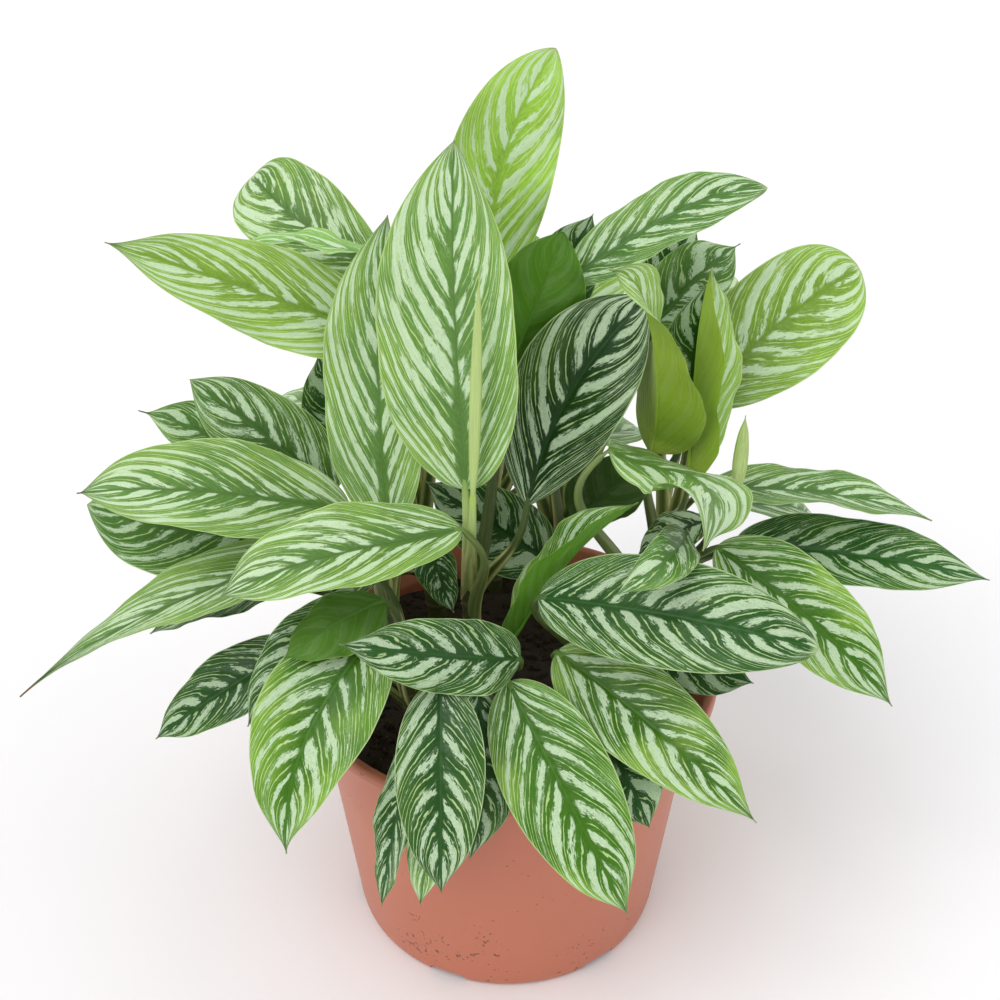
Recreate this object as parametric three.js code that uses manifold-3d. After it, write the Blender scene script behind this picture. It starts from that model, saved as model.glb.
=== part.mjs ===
// A potted striped Chinese evergreen (Aglaonema): ten leafy canes that stand in potting mix in a
// 24 cm nursery pot. Millimetres, +Z up. The origin is the centre of the pot's flat underside, and
// the side that is seen most faces -Y. A leafy cane, with its leaf stalks and blades, is one piece.

import * as THREE from "three";
import { mergeVertices } from "three/addons/utils/BufferGeometryUtils.js";
import Module from "manifold-3d";

const wasm = await Module();
wasm.setup();

// Driving dimensions
const clearance = 0.3; // between pieces that touch

const pot = {
  height: 175,
  rimRadius: 120,
  lipHeight: 8,
  lipOverhang: 8, // how far the lip stands out past the wall below it
  footRadius: 84,
  neckRadius: 109, // the wall's outside where it turns out into the lip
  neckHeight: 160,
  wall: 2.5,
  floor: 5,
  segments: 36,
  slots: 6,
  slotWidth: 23,
  slotHeight: 6.5,
  slotTurn: 7, // degrees from +X to the first slot
};

const soil = {
  level: 155,
  unevenness: 2.5,
  rings: 4,
};

const cane = {
  foot: 115, // how deep in the mix a cane starts
  straightTo: 160, // upright to here, then it leans
  topShare: 0.8, // top radius as a share of the radius at the foot
  sides: 8,
};

const stalk = {
  sides: 4,
  steps: 4,
  rootRadius: 3.2,
  endRadius: 2,
  keelRadius: 1.2,
  keelShare: 0.05, // how far along the blade the stalk runs on as its keel
  rise: 0.45,
  spread: 0.35,
  approach: 0.35,
  upright: 0.55, // how far its upper end keeps upright before it turns into the midrib, 0 to 1
};

const blade = {
  thickness: 0.8,
  stationsAlong: 8,
  stripsAcross: 4,
  smallWidth: 55, // a blade narrower than this has fewer facets
  smallStationsAlong: 6,
  smallStripsAcross: 2,
  rootHalfWidth: 1.4,
  tipHalfWidth: 0.6,
  waveHeight: 1.6,
  waves: 2.2, // undulations of the margin from base to tip
  waveShift: 1.3, // radians that each margin's wave is moved along
};

// What a leaf has unless its row says otherwise: angles in degrees, arch and bow as shares of length
const plainLeaf = {
  arch: [0.06, 0.14], // rise of the midrib's two handles above the line from base to tip
  bow: 0, // sideways bend of the midrib
  reach: 0, // how far the second handle runs on along that line
  fold: 10, // how far each half is raised from flat
  twist: 0,
  twistPower: 0, // 0 turns the blade evenly about its middle, more turns it late
  basePower: 0.55, // roundness of the outline at the base
  tipPower: 0.8, // slenderness of the outline at the tip
};

// Every leafy cane. foot is where it stands, lean is its sideways run for each 100 mm of height.
// In a leaf, at is the height where the stalk leaves the cane, base and tip are the blade's ends,
// and face is the way its upper side looks.
const stems = {
  stem_centre: {
    foot: [-18, 18],
    lean: [-6, -14],
    top: 222,
    radius: 6.5,
    leaves: {
      crown: {
        at: 212, base: [-22, -32, 314], tip: [-26, 12, 486], width: 80,
        face: [-0.4, -1, 0.45], arch: [0, 0.05], bow: -0.01, tipPower: 0.68, fold: 20,
      },
      dark_right: {
        at: 205, base: [10, -18, 294], tip: [76, 26, 398], width: 64,
        face: [-0.3, -0.85, 0.6], arch: [0.02, 0.06], bow: -0.1, basePower: 0.8,
      },
      front_left: {
        at: 190, base: [-24, -42, 296], tip: [-144, -84, 284], width: 50,
        face: [-0.1, -0.45, 0.95], arch: [0.04, 0.17], tipPower: 0.6, fold: 15,
      },
      new_leaf: {
        at: 216, base: [-18, -42, 314], tip: [-14, -34, 440], width: 13,
        face: [0, -1, 0.3], arch: [0, 0], fold: 60,
      },
      edge_on: {
        at: 178, base: [2, -28, 212], tip: [66, -44, 314], width: 38,
        face: [-0.6, 0.15, 0.75], arch: [0.05, 0.1], fold: 45,
      },
      plain_back: {
        at: 206, base: [-2, 32, 336], tip: [28, 32, 428], width: 52,
        face: [0.1, 0.95, -0.3], arch: [-0.02, -0.05], tipPower: 0.65,
      },
    },
  },
  stem_left: {
    foot: [-60, 5],
    lean: [-14, 0],
    top: 212,
    radius: 6,
    leaves: {
      left_centre: {
        at: 208, base: [-64, -14, 273], tip: [-60, 22, 442], width: 60,
        face: [-0.5, -1, 0.4], arch: [0, 0.05], bow: -0.03, tipPower: 0.7, fold: 15,
      },
      far_left: {
        at: 205, base: [-58, 44, 356], tip: [-200, 12, 432], width: 52,
        face: [0, -0.75, 0.8], arch: [0.03, 0.05],
      },
      left: {
        at: 192, base: [-84, -4, 280], tip: [-222, -30, 310], width: 57,
        face: [-0.1, -0.5, 0.9], arch: [0.08, 0.15], tipPower: 0.6, fold: 14,
      },
      long_tip: {
        at: 182, base: [-86, -16, 270], tip: [-256, -76, 212], width: 46,
        face: [-0.2, -0.2, 0.95], arch: [0.05, 0.14], tipPower: 1.3, fold: 14,
      },
    },
  },
  stem_front_left: {
    foot: [-50, -45],
    lean: [-10, -14],
    top: 205,
    radius: 6,
    leaves: {
      left_shade: {
        at: 176, base: [-70, -22, 250], tip: [-118, -28, 252], width: 24,
        face: [0, -0.6, 0.9], arch: [0, 0],
      },
      big_front_left: {
        at: 198, base: [-64, -68, 252], tip: [-114, -136, 158], width: 62,
        face: [-0.25, -0.85, 0.45], arch: [0.1, 0.2], bow: 0.12, tipPower: 0.9,
      },
      turned_left: {
        at: 188, base: [-64, -58, 262], tip: [-114, -88, 248], width: 36,
        face: [0.2, 0.5, -0.8], arch: [-0.1, -0.1],
      },
      striped_left: {
        at: 180, base: [-72, -44, 252], tip: [-136, -88, 202], width: 40,
        face: [-0.45, -0.75, 0.5], arch: [0.1, 0.15], bow: 0.04,
      },
      lower_left: {
        at: 170, base: [-112, -40, 218], tip: [-192, -60, 168], width: 38,
        face: [-0.3, -0.65, 0.7], arch: [0.05, 0.1],
      },
      centre_front: {
        at: 192, base: [6, -76, 238], tip: [-82, -118, 282], width: 40,
        face: [0, -0.9, 0.6], arch: [0.12, 0.1],
      },
    },
  },
  stem_front: {
    foot: [2, -62],
    lean: [-10, -12],
    top: 200,
    radius: 6,
    leaves: {
      front_dark: {
        at: 194, base: [-34, -100, 244], tip: [-34, -156, 150], width: 46,
        face: [0, -0.9, 0.5], arch: [0.08, 0.18], tipPower: 0.85,
      },
      front_strip: {
        at: 184, base: [-16, -82, 222], tip: [-20, -132, 150], width: 36,
        face: [0.3, -0.8, 0.5], arch: [0.08, 0.15], bow: -0.05,
      },
      front_narrow: {
        at: 176, base: [-48, -102, 208], tip: [-66, -140, 124], width: 24,
        face: [-0.6, -0.7, 0.3], arch: [0.1, 0.1], bow: -0.05,
      },
      front_small: {
        at: 168, base: [-36, -104, 194], tip: [-46, -140, 124], width: 24,
        face: [0, -0.9, 0.4], arch: [0.1, 0.1],
      },
      front_right: {
        at: 190, base: [0, -80, 226], tip: [62, -150, 128], width: 58,
        face: [0.1, -0.9, 0.45], arch: [0.08, 0.18], tipPower: 0.8,
      },
    },
  },
  stem_front_right: {
    foot: [40, -32],
    lean: [12, -8],
    top: 205,
    radius: 6,
    leaves: {
      right_front: {
        at: 192, base: [26, -56, 226], tip: [126, -136, 180], width: 52,
        face: [0.15, -0.8, 0.6], arch: [0.08, 0.15], bow: -0.02, tipPower: 0.9,
      },
      right_big: {
        at: 200, base: [16, -50, 258], tip: [154, -100, 264], width: 58,
        face: [0.1, -0.75, 0.75], arch: [0.1, 0.16], bow: -0.01, tipPower: 0.65,
      },
      right_under: {
        at: 176, base: [78, -24, 194], tip: [134, -44, 194], width: 34,
        face: [0, -0.5, 0.85], arch: [0.05, 0.1],
      },
      front_behind: {
        at: 168, base: [48, -80, 188], tip: [74, -118, 158], width: 38,
        face: [0.3, -0.8, 0.5], arch: [0.2, 0.2],
      },
      light_curl: {
        at: 188, base: [91, -47, 297], tip: [52, -88, 288], width: 26,
        face: [0.1, -0.75, 0.65], arch: [0.2, 0.65], bow: -0.05,
      },
    },
  },
  stem_right: {
    foot: [68, 22],
    lean: [16, 0],
    top: 218,
    radius: 6.5,
    leaves: {
      far_right_low: {
        at: 196, base: [128, 24, 240], tip: [268, 4, 228], width: 44,
        face: [0, -0.5, 0.9], arch: [0.03, 0.09],
      },
      right_bright: {
        at: 186, base: [114, 0, 254], tip: [208, -56, 188], width: 55,
        face: [0.2, -0.65, 0.75], arch: [0.06, 0.12], bow: -0.02, tipPower: 0.85,
      },
      right_curl: {
        at: 200, base: [51, -32, 338], tip: [96, -76, 307], width: 82,
        face: [0.75, -0.2, 0.6], arch: [-0.06, 0.6], bow: -0.36, tipPower: 0.6, fold: -5,
      },
      under_curl: {
        at: 188, base: [107, 6, 267], tip: [70, -12, 257], width: 24,
        face: [-0.1, -0.5, 0.85], arch: [0.1, 0.2],
      },
    },
  },
  stem_back: {
    foot: [25, 62],
    lean: [8, -4],
    top: 225,
    radius: 6.5,
    leaves: {
      top: {
        at: 222, base: [-8, 54, 384], tip: [24, 80, 506], width: 56,
        face: [0, -0.9, 0.45], arch: [0, 0.05], bow: -0.12, tipPower: 0.6,
      },
      upper_right: {
        at: 222, base: [28, 40, 394], tip: [134, 64, 437], width: 36,
        face: [0.05, -0.5, 0.85], arch: [0.06, 0.26], bow: -0.02, tipPower: 0.6,
      },
      hook: {
        at: 214, base: [80, 66, 356], tip: [126, 88, 393], width: 42,
        face: [0, -0.6, 0.8], arch: [0.1, 0.3],
      },
      behind_right: {
        at: 208, base: [74, 90, 358], tip: [104, 104, 396], width: 34,
        face: [0, -0.6, 0.8], arch: [0.1, 0.1],
      },
      inner_back: {
        at: 196, base: [96, 36, 306], tip: [104, 48, 390], width: 46,
        face: [0.1, -0.8, 0.3], arch: [0, 0],
      },
      shade_right: {
        at: 182, base: [37, 26, 253], tip: [74, 3, 311], width: 40,
        face: [0, 0.9, -0.3], arch: [0, 0.02],
      },
      behind_top: {
        at: 212, base: [14, 70, 350], tip: [46, 90, 410], width: 40,
        face: [0, -0.8, 0.5], arch: [0.05, 0.1],
      },
      inner_centre: {
        at: 176, base: [26, 35, 216], tip: [-46, 46, 266], width: 46,
        face: [0, -0.8, 0.5], arch: [0.05, 0.1],
      },
      back_tall: {
        at: 219, base: [40, 106, 342], tip: [70, 186, 346], width: 54,
        face: [0.1, 0.3, 1], arch: [0.08, 0.2],
      },
    },
  },
  stem_back_left: {
    foot: [-42, 62],
    lean: [-12, -4],
    top: 222,
    radius: 6.5,
    leaves: {
      upper_left: {
        at: 216, base: [-68, 82, 380], tip: [-142, 138, 410], width: 54,
        face: [-0.1, -0.7, 0.75], arch: [0.1, 0.28], bow: -0.1, tipPower: 0.42,
      },
      upper_sliver: {
        at: 212, base: [-64, 60, 398], tip: [-138, 52, 410], width: 30,
        face: [0, 0.15, 1], arch: [0.05, 0.12], tipPower: 0.6,
      },
      mid_left: {
        at: 205, base: [-94, 16, 280], tip: [-168, 24, 346], width: 48,
        face: [-0.1, -0.75, 0.8], arch: [0.08, 0.14], tipPower: 0.6, basePower: 0.4,
      },
      left_small: {
        at: 196, base: [-120, 38, 280], tip: [-202, 44, 314], width: 42,
        face: [-0.1, -0.5, 0.85], arch: [0.06, 0.1],
      },
      left_behind: {
        at: 200, base: [-86, 44, 282], tip: [-104, 60, 340], width: 40,
        face: [-0.1, -0.5, 0.85], arch: [0.06, 0.1],
      },
      under_left: {
        at: 188, base: [-104, 8, 252], tip: [-226, 0, 282], width: 62,
        face: [-0.1, -0.7, 0.8], arch: [0.05, 0], bow: -0.05, tipPower: 0.5,
      },
      behind_long: {
        at: 178, base: [-108, -4, 238], tip: [-198, -16, 206], width: 34,
        face: [0, -0.1, 1], arch: [0.05, 0.1],
      },
      back_left: {
        at: 198, base: [-78, 112, 262], tip: [-160, 184, 222], width: 56,
        face: [-0.3, 0.3, 1], arch: [0.1, 0.2],
      },
      back_high_left: {
        at: 214, base: [-52, 112, 322], tip: [-96, 190, 318], width: 50,
        face: [-0.2, 0.2, 1], arch: [0.1, 0.2],
      },
      inner_left: {
        at: 182, base: [-46, 26, 246], tip: [-30, -2, 210], width: 24,
        face: [-0.2, -0.9, 0.4], arch: [0.05, 0.1],
      },
      back_tall_left: {
        at: 220, base: [-36, 118, 350], tip: [-50, 196, 344], width: 52,
        face: [-0.1, 0.3, 1], arch: [0.08, 0.2],
      },
      side_left: {
        at: 190, base: [-116, 74, 250], tip: [-196, 116, 206], width: 50,
        face: [-0.5, 0.2, 0.9], arch: [0.1, 0.2],
      },
    },
  },
  stem_back_right: {
    foot: [74, 54],
    lean: [34, 16],
    top: 220,
    radius: 6.5,
    leaves: {
      far_right_up: {
        at: 206, base: [108, 24, 276], tip: [234, 16, 260], width: 46,
        face: [0, 0.1, 1], arch: [0.06, 0.1],
      },
      right_lime: {
        at: 212, base: [106, 52, 314], tip: [194, 96, 374], width: 66,
        face: [0.2, -0.8, 0.6], arch: [0.03, 0.12], bow: -0.07, tipPower: 0.45,
      },
      spear: {
        at: 214, base: [122, -2, 292], tip: [124, 4, 336], width: 17,
        face: [0.2, -1, 0.1], arch: [0, 0], fold: 60,
      },
      upright_back: {
        at: 204, base: [99, 18, 290], tip: [104, 28, 410], width: 58,
        face: [0.95, -0.3, 0.1], arch: [0, -0.05], fold: 40,
      },
      folded: {
        at: 200, base: [76, 16, 306], tip: [48, -22, 434], width: 50,
        face: [0.6, 0.75, -0.3], arch: [0, 0.1], bow: -0.15, tipPower: 0.8, basePower: 0.34,
        fold: 25, twist: 120, twistPower: 1.8, reach: 0.35,
      },
      back_right: {
        at: 200, base: [110, 108, 280], tip: [164, 178, 276], width: 54,
        face: [0.3, 0.3, 1], arch: [0.1, 0.2],
      },
      back_high_right: {
        at: 214, base: [92, 112, 318], tip: [132, 190, 322], width: 50,
        face: [0.2, 0.2, 1], arch: [0.1, 0.2],
      },
      side_right: {
        at: 192, base: [136, 80, 226], tip: [196, 112, 184], width: 50,
        face: [0.5, 0.2, 0.9], arch: [0.1, 0.2],
      },
    },
  },
  stem_far_back: {
    foot: [-8, 92],
    lean: [-4, 12],
    top: 214,
    radius: 6,
    leaves: {
      back_low: {
        at: 184, base: [0, 122, 232], tip: [4, 204, 158], width: 54,
        face: [0, 0.6, 0.8], arch: [0.12, 0.22],
      },
      back_left_low: {
        at: 190, base: [-40, 118, 236], tip: [-98, 188, 190], width: 54,
        face: [-0.3, 0.5, 0.8], arch: [0.12, 0.22],
      },
      back_right_low: {
        at: 196, base: [36, 120, 240], tip: [104, 182, 196], width: 54,
        face: [0.4, 0.5, 0.8], arch: [0.12, 0.22],
      },
      back_mid: {
        at: 206, base: [-10, 128, 290], tip: [-20, 238, 268], width: 56,
        face: [0, 0.3, 1], arch: [0.1, 0.2],
      },
      back_high: {
        at: 212, base: [0, 124, 332], tip: [-6, 204, 350], width: 50,
        face: [0, -0.2, 1], arch: [0.1, 0.2],
      },
      back_steep: {
        at: 201, base: [-26, 132, 264], tip: [-64, 210, 232], width: 52,
        face: [-0.2, 0.7, 0.7], arch: [0.12, 0.22],
      },
      back_steep_right: {
        at: 198, base: [28, 134, 268], tip: [66, 212, 238], width: 52,
        face: [0.2, 0.7, 0.7], arch: [0.12, 0.22],
      },
      back_inner: {
        at: 208, base: [-30, 118, 306], tip: [-66, 182, 306], width: 46,
        face: [-0.1, 0.4, 0.9], arch: [0.1, 0.2],
      },
    },
  },
};

const colours = {
  pot: 0xa8593f,
  soil: 0x3a2b22,
  foliage: 0x5f8f45,
};

const up = new THREE.Vector3(0, 0, 1);

// Joins and cuts

function solidOf(geometry) {
  const bare = geometry.clone();
  bare.deleteAttribute("normal");
  bare.deleteAttribute("uv");
  const merged = mergeVertices(bare, 1e-4);
  return new wasm.Manifold(
    new wasm.Mesh({
      numProp: 3,
      vertProperties: new Float32Array(merged.attributes.position.array),
      triVerts: new Uint32Array(merged.index.array),
    }),
  );
}

function geometryOf(solid) {
  const { vertProperties, triVerts } = solid.getMesh();
  const geometry = new THREE.BufferGeometry();
  geometry.setAttribute("position", new THREE.BufferAttribute(vertProperties, 3));
  geometry.setIndex(new THREE.BufferAttribute(triVerts, 1));
  geometry.computeVertexNormals();
  return geometry;
}

function geometryFrom(points, triangles) {
  const geometry = new THREE.BufferGeometry();
  geometry.setFromPoints(points);
  geometry.setIndex(triangles.flat());
  return geometry;
}

function mesh(name, geometry, colour, roughness) {
  const material = new THREE.MeshStandardMaterial({ color: colour, roughness, metalness: 0 });
  const piece = new THREE.Mesh(geometry, material);
  piece.name = name;
  return piece;
}

// Vectors

function combine(...terms) {
  const sum = new THREE.Vector3();
  for (const [vector, amount] of terms) sum.addScaledVector(vector, amount);
  return sum;
}

function across(vector, axis) {
  return vector.clone().addScaledVector(axis, -vector.dot(axis)).normalize();
}

// A round bar of the given radii along the given centres, closed at both ends
function bar(centres, radii, sides) {
  const points = [];
  const triangles = [];
  const last = centres.length - 1;
  let out = new THREE.Vector3(1, 0, 0);
  centres.forEach((centre, i) => {
    const ahead = centres[Math.min(i + 1, last)];
    const behind = centres[Math.max(i - 1, 0)];
    const along = ahead.clone().sub(behind).normalize();
    out = across(out, along);
    const beside = along.clone().cross(out);
    for (let k = 0; k < sides; k++) {
      const angle = (2 * Math.PI * k) / sides;
      const rx = radii[i] * Math.cos(angle);
      const ry = radii[i] * Math.sin(angle);
      points.push(combine([centre, 1], [out, rx], [beside, ry]));
    }
  });
  points.push(centres[0].clone(), centres[last].clone());
  const start = points.length - 2;
  const end = points.length - 1;
  for (let k = 0; k < sides; k++) {
    const next = (k + 1) % sides;
    triangles.push([start, next, k]);
    triangles.push([end, last * sides + k, last * sides + next]);
    for (let i = 0; i < last; i++) {
      const a = i * sides;
      const b = a + sides;
      triangles.push([a + k, a + next, b + next]);
      triangles.push([a + k, b + next, b + k]);
    }
  }
  return geometryFrom(points, triangles);
}

// Leaves

function midribOf(leaf) {
  const base = new THREE.Vector3(...leaf.base);
  const tip = new THREE.Vector3(...leaf.tip);
  const length = base.distanceTo(tip);
  const chord = tip.clone().sub(base).normalize();
  const rise = across(new THREE.Vector3(...leaf.face), chord);
  const side = chord.clone().cross(rise);
  const [firstRise, secondRise] = leaf.arch;
  const bend = [side, length * leaf.bow];
  const first = combine([base, 1], [chord, length / 3], [rise, length * firstRise], bend);
  const run = length * (2 / 3 + leaf.reach);
  const second = combine([base, 1], [chord, run], [rise, length * secondRise], bend);
  return { curve: new THREE.CubicBezierCurve3(base, first, second, tip), side };
}

function halfWidthAt(leaf, s) {
  const widest = leaf.basePower / (leaf.basePower + leaf.tipPower);
  const shape = (s / widest) ** leaf.basePower * ((1 - s) / (1 - widest)) ** leaf.tipPower;
  const least = s < 0.5 ? blade.rootHalfWidth : blade.tipHalfWidth;
  return Math.max((leaf.width / 2) * shape, least);
}

// The midrib's point at share s, with the blade's sideways and upward directions there
function stationOf(leaf, midrib, s) {
  const centre = midrib.curve.getPoint(s);
  const along = midrib.curve.getTangent(s);
  const flat = across(midrib.side, along);
  const raised = flat.clone().cross(along);
  const turned = leaf.twistPower ? s ** leaf.twistPower : s - 0.5;
  const angle = THREE.MathUtils.degToRad(leaf.twist) * turned;
  const side = combine([flat, Math.cos(angle)], [raised, Math.sin(angle)]);
  return { centre, side, rise: side.clone().cross(along) };
}

// A point of the blade at share s of its length and share v of its half width, lifted off its middle
function bladePoint(leaf, station, s, v, lift) {
  const reach = Math.abs(v) * halfWidthAt(leaf, s);
  const fold = THREE.MathUtils.degToRad(leaf.fold);
  const turn = 2 * Math.PI * blade.waves * s + blade.waveShift * (v < 0 ? -1 : 1);
  const wave = blade.waveHeight * v * v * Math.sin(turn) * Math.sin(Math.PI * s);
  const sideways = Math.sign(v) * reach * Math.cos(fold);
  const height = reach * Math.sin(fold) + wave + lift;
  return combine([station.centre, 1], [station.side, sideways], [station.rise, height]);
}

// Both faces of a blade have the same stations and the same diagonals, with a thin edge between them
function bladeGeometry(leaf, midrib) {
  const small = leaf.width < blade.smallWidth;
  const along = small ? blade.smallStationsAlong : blade.stationsAlong;
  const strips = small ? blade.smallStripsAcross : blade.stripsAcross;
  const points = [];
  const triangles = [];
  for (const lift of [blade.thickness / 2, -blade.thickness / 2]) {
    for (let i = 0; i <= along; i++) {
      const s = (1 - Math.cos(Math.PI * (i / along) ** 0.95)) / 2;
      const station = stationOf(leaf, midrib, s);
      for (let j = 0; j <= strips; j++) {
        points.push(bladePoint(leaf, station, s, (2 * j) / strips - 1, lift));
      }
    }
  }
  const row = strips + 1;
  const under = (along + 1) * row;
  const quad = (a, b, c, d) => triangles.push([a, b, c], [a, c, d]);
  for (let i = 0; i < along; i++) {
    for (let j = 0; j < strips; j++) {
      const a = i * row + j;
      quad(a, a + 1, a + row + 1, a + row);
      triangles.push([under + a, under + a + row + 1, under + a + 1]);
      triangles.push([under + a, under + a + row, under + a + row + 1]);
    }
    const left = i * row;
    const right = left + strips;
    quad(left, left + row, under + left + row, under + left);
    quad(right, under + right, under + right + row, right + row);
  }
  for (let j = 0; j < strips; j++) {
    const end = along * row + j;
    quad(j, under + j, under + j + 1, j + 1);
    quad(end, end + 1, under + end + 1, under + end);
  }
  return geometryFrom(points, triangles);
}

// The stalk starts inside its cane, rises, bends over into the midrib and runs on under the blade
function stalkGeometry(leaf, stem, midrib) {
  const root = caneAxis(stem, leaf.at);
  const base = midrib.curve.v0;
  const span = root.distanceTo(base);
  const outward = base.clone().sub(root).setZ(0).normalize();
  const start = combine([up, 1], [outward, stalk.spread]).normalize();
  const inLine = midrib.curve.getTangent(0);
  const finish = combine([inLine, 1 - stalk.upright], [up, stalk.upright]).normalize();
  const rising = combine([root, 1], [start, span * stalk.rise]);
  const arriving = combine([base, 1], [finish, -span * stalk.approach]);
  const centres = new THREE.CubicBezierCurve3(root, rising, arriving, base).getPoints(stalk.steps);
  const radii = centres.map((_, i) =>
    THREE.MathUtils.lerp(stalk.rootRadius, stalk.endRadius, i / stalk.steps),
  );
  centres.push(midrib.curve.getPoint(stalk.keelShare));
  radii.push(stalk.keelRadius);
  return bar(centres, radii, stalk.sides);
}

// Canes

function caneAxis(stem, height) {
  const [x, y] = stem.foot;
  const [leanX, leanY] = stem.lean;
  const run = Math.max(height - cane.straightTo, 0) / 100;
  return new THREE.Vector3(x + leanX * run, y + leanY * run, height);
}

function caneGeometry(stem) {
  const heights = [cane.foot, cane.straightTo, (cane.straightTo + stem.top) / 2, stem.top];
  const centres = heights.map((height) => caneAxis(stem, height));
  const shares = [1, 1, (1 + cane.topShare) / 2, cane.topShare];
  const radii = shares.map((share) => stem.radius * share);
  return bar(centres, radii, cane.sides);
}

function leafyCane(stem) {
  let solid = solidOf(caneGeometry(stem));
  for (const row of Object.values(stem.leaves)) {
    const leaf = { ...plainLeaf, ...row };
    const midrib = midribOf(leaf);
    solid = solid.add(solidOf(stalkGeometry(leaf, stem, midrib)));
    solid = solid.add(solidOf(bladeGeometry(leaf, midrib)));
  }
  return geometryOf(solid);
}

// Pot and soil

function turned(profile) {
  const points = profile.map(([radius, height]) => new THREE.Vector2(radius, height));
  return new THREE.LatheGeometry(points, pot.segments).rotateX(Math.PI / 2);
}

function innerRadius(height) {
  const share = (height - pot.floor) / (pot.neckHeight - pot.floor);
  return THREE.MathUtils.lerp(pot.footRadius + 4, pot.neckRadius - pot.wall, share);
}

function potGeometry() {
  const { height, rimRadius, footRadius, neckRadius, neckHeight, wall, floor } = pot;
  const lipBottom = height - pot.lipHeight;
  const underLip = rimRadius - pot.lipOverhang;
  const body = turned([
    [0, 0],
    [footRadius, 0],
    [footRadius + 5, 2],
    [footRadius + 4 + wall, floor + 2],
    [neckRadius, neckHeight],
    [underLip, lipBottom - 1],
    [rimRadius, lipBottom],
    [rimRadius, height - 2.5],
    [rimRadius - 1.5, height],
    [rimRadius - 5, height],
    [rimRadius - 7, height - 3],
    [innerRadius(neckHeight), neckHeight],
    [innerRadius(floor + 3), floor + 3],
    [footRadius, floor],
    [0, floor],
  ]);
  let solid = solidOf(body);
  for (let k = 0; k < pot.slots; k++) {
    const angle = THREE.MathUtils.degToRad(pot.slotTurn) + (2 * Math.PI * k) / pot.slots;
    const slot = new THREE.BoxGeometry(20, pot.slotWidth, 2 * pot.slotHeight);
    slot.translate(pot.footRadius + 4, 0, 0).rotateZ(angle);
    solid = solid.subtract(solidOf(slot));
  }
  return geometryOf(solid);
}

function soilHeight(x, y) {
  const swell = Math.sin(x / 22 + 0.6) * Math.cos(y / 18) + 0.5 * Math.sin((x + y) / 11);
  return soil.level + (soil.unevenness * swell) / 1.5;
}

function soilGeometry(stems) {
  const floor = pot.floor + clearance;
  const edge = innerRadius(soil.level) - clearance;
  const profile = [
    [0, floor],
    [pot.footRadius - clearance, floor],
    [innerRadius(floor + 3) - clearance, floor + 3],
    [edge, soil.level],
  ];
  for (let ring = soil.rings - 1; ring >= 0; ring--) {
    profile.push([(edge * ring) / soil.rings, soil.level]);
  }
  const body = turned(profile);
  const position = body.getAttribute("position");
  for (let i = 0; i < position.count; i++) {
    if (position.getZ(i) > soil.level - 1) {
      position.setZ(i, soilHeight(position.getX(i), position.getY(i)));
    }
  }
  let solid = solidOf(body);
  for (const stem of stems) {
    const [x, y] = stem.foot;
    const bottom = new THREE.Vector3(x, y, cane.foot - clearance);
    const top = new THREE.Vector3(x, y, soil.level + 20);
    const radius = stem.radius + clearance / Math.cos(Math.PI / cane.sides);
    solid = solid.subtract(solidOf(bar([bottom, top], [radius, radius], cane.sides)));
  }
  return geometryOf(solid);
}

// The plant in its pot

const plant = new THREE.Group();
plant.add(mesh("pot", potGeometry(), colours.pot, 0.6));
plant.add(mesh("soil", soilGeometry(Object.values(stems)), colours.soil, 0.95));
for (const [name, stem] of Object.entries(stems)) {
  plant.add(mesh(name, leafyCane(stem), colours.foliage, 0.45));
}

export default plant;
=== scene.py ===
"""A potted Chinese evergreen with striped leaves, dressed over its solids."""

import math
from functools import partialmethod
from typing import NamedTuple, Optional

import bpy
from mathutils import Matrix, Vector, noise


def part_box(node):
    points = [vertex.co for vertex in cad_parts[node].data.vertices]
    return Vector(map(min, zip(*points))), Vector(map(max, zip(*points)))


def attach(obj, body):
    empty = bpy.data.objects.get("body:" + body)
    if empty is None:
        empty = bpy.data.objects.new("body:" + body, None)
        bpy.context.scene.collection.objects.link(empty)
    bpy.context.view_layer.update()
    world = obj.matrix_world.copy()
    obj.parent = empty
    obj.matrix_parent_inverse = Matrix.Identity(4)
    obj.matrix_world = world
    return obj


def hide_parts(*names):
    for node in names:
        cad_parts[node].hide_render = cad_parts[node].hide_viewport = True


bl_info = {
    "name": "Striped evergreen in a pot",
    "version": (1, 0, 0),
    "blender": (4, 5, 0),
    "location": "View3D > Sidebar > Evergreen",
    "description": "Makes the striped leaves, stalks, canes, soil and pot of a house plant",
    "category": "Object",
}

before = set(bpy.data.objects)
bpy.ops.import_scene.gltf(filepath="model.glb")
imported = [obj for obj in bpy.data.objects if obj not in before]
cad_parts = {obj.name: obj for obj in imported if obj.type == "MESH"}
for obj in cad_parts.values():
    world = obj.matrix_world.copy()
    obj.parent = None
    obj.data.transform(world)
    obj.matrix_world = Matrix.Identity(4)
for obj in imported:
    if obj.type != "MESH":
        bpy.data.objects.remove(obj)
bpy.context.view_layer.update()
POT_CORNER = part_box("pot")[1]
SOIL_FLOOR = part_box("soil")[0].z

MM = 0.001
UP = Vector((0, 0, 1))

# The kinds of line that a stem grows from.
BLADE, STALK, CANE = 0, 1, 2

# The height in the soil at which the canes start, and the one up to which they stand upright, in
# millimetres.
CANE_FOOT = 115
CANE_STRAIGHT_TO = 160
CANE_STEPS = 44
CANE_SIDES = 24
CANE_RINGS = 8

# The stalks, in millimetres: their radius at the cane and how much of it goes, their sheaths'
# wings, and the keel that runs on under the blade.
STALK_RADIUS = 3.3
STALK_TAPER = 1.5
STALK_STEPS = 22
STALK_SIDES = 18
SHEATH_WING = 3.0
SHEATH_LENGTH = 1 / 1.3
KEEL_RADIUS = 1.7
KEEL_STEPS = 12
KEEL_LENGTH = 0.92

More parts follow.
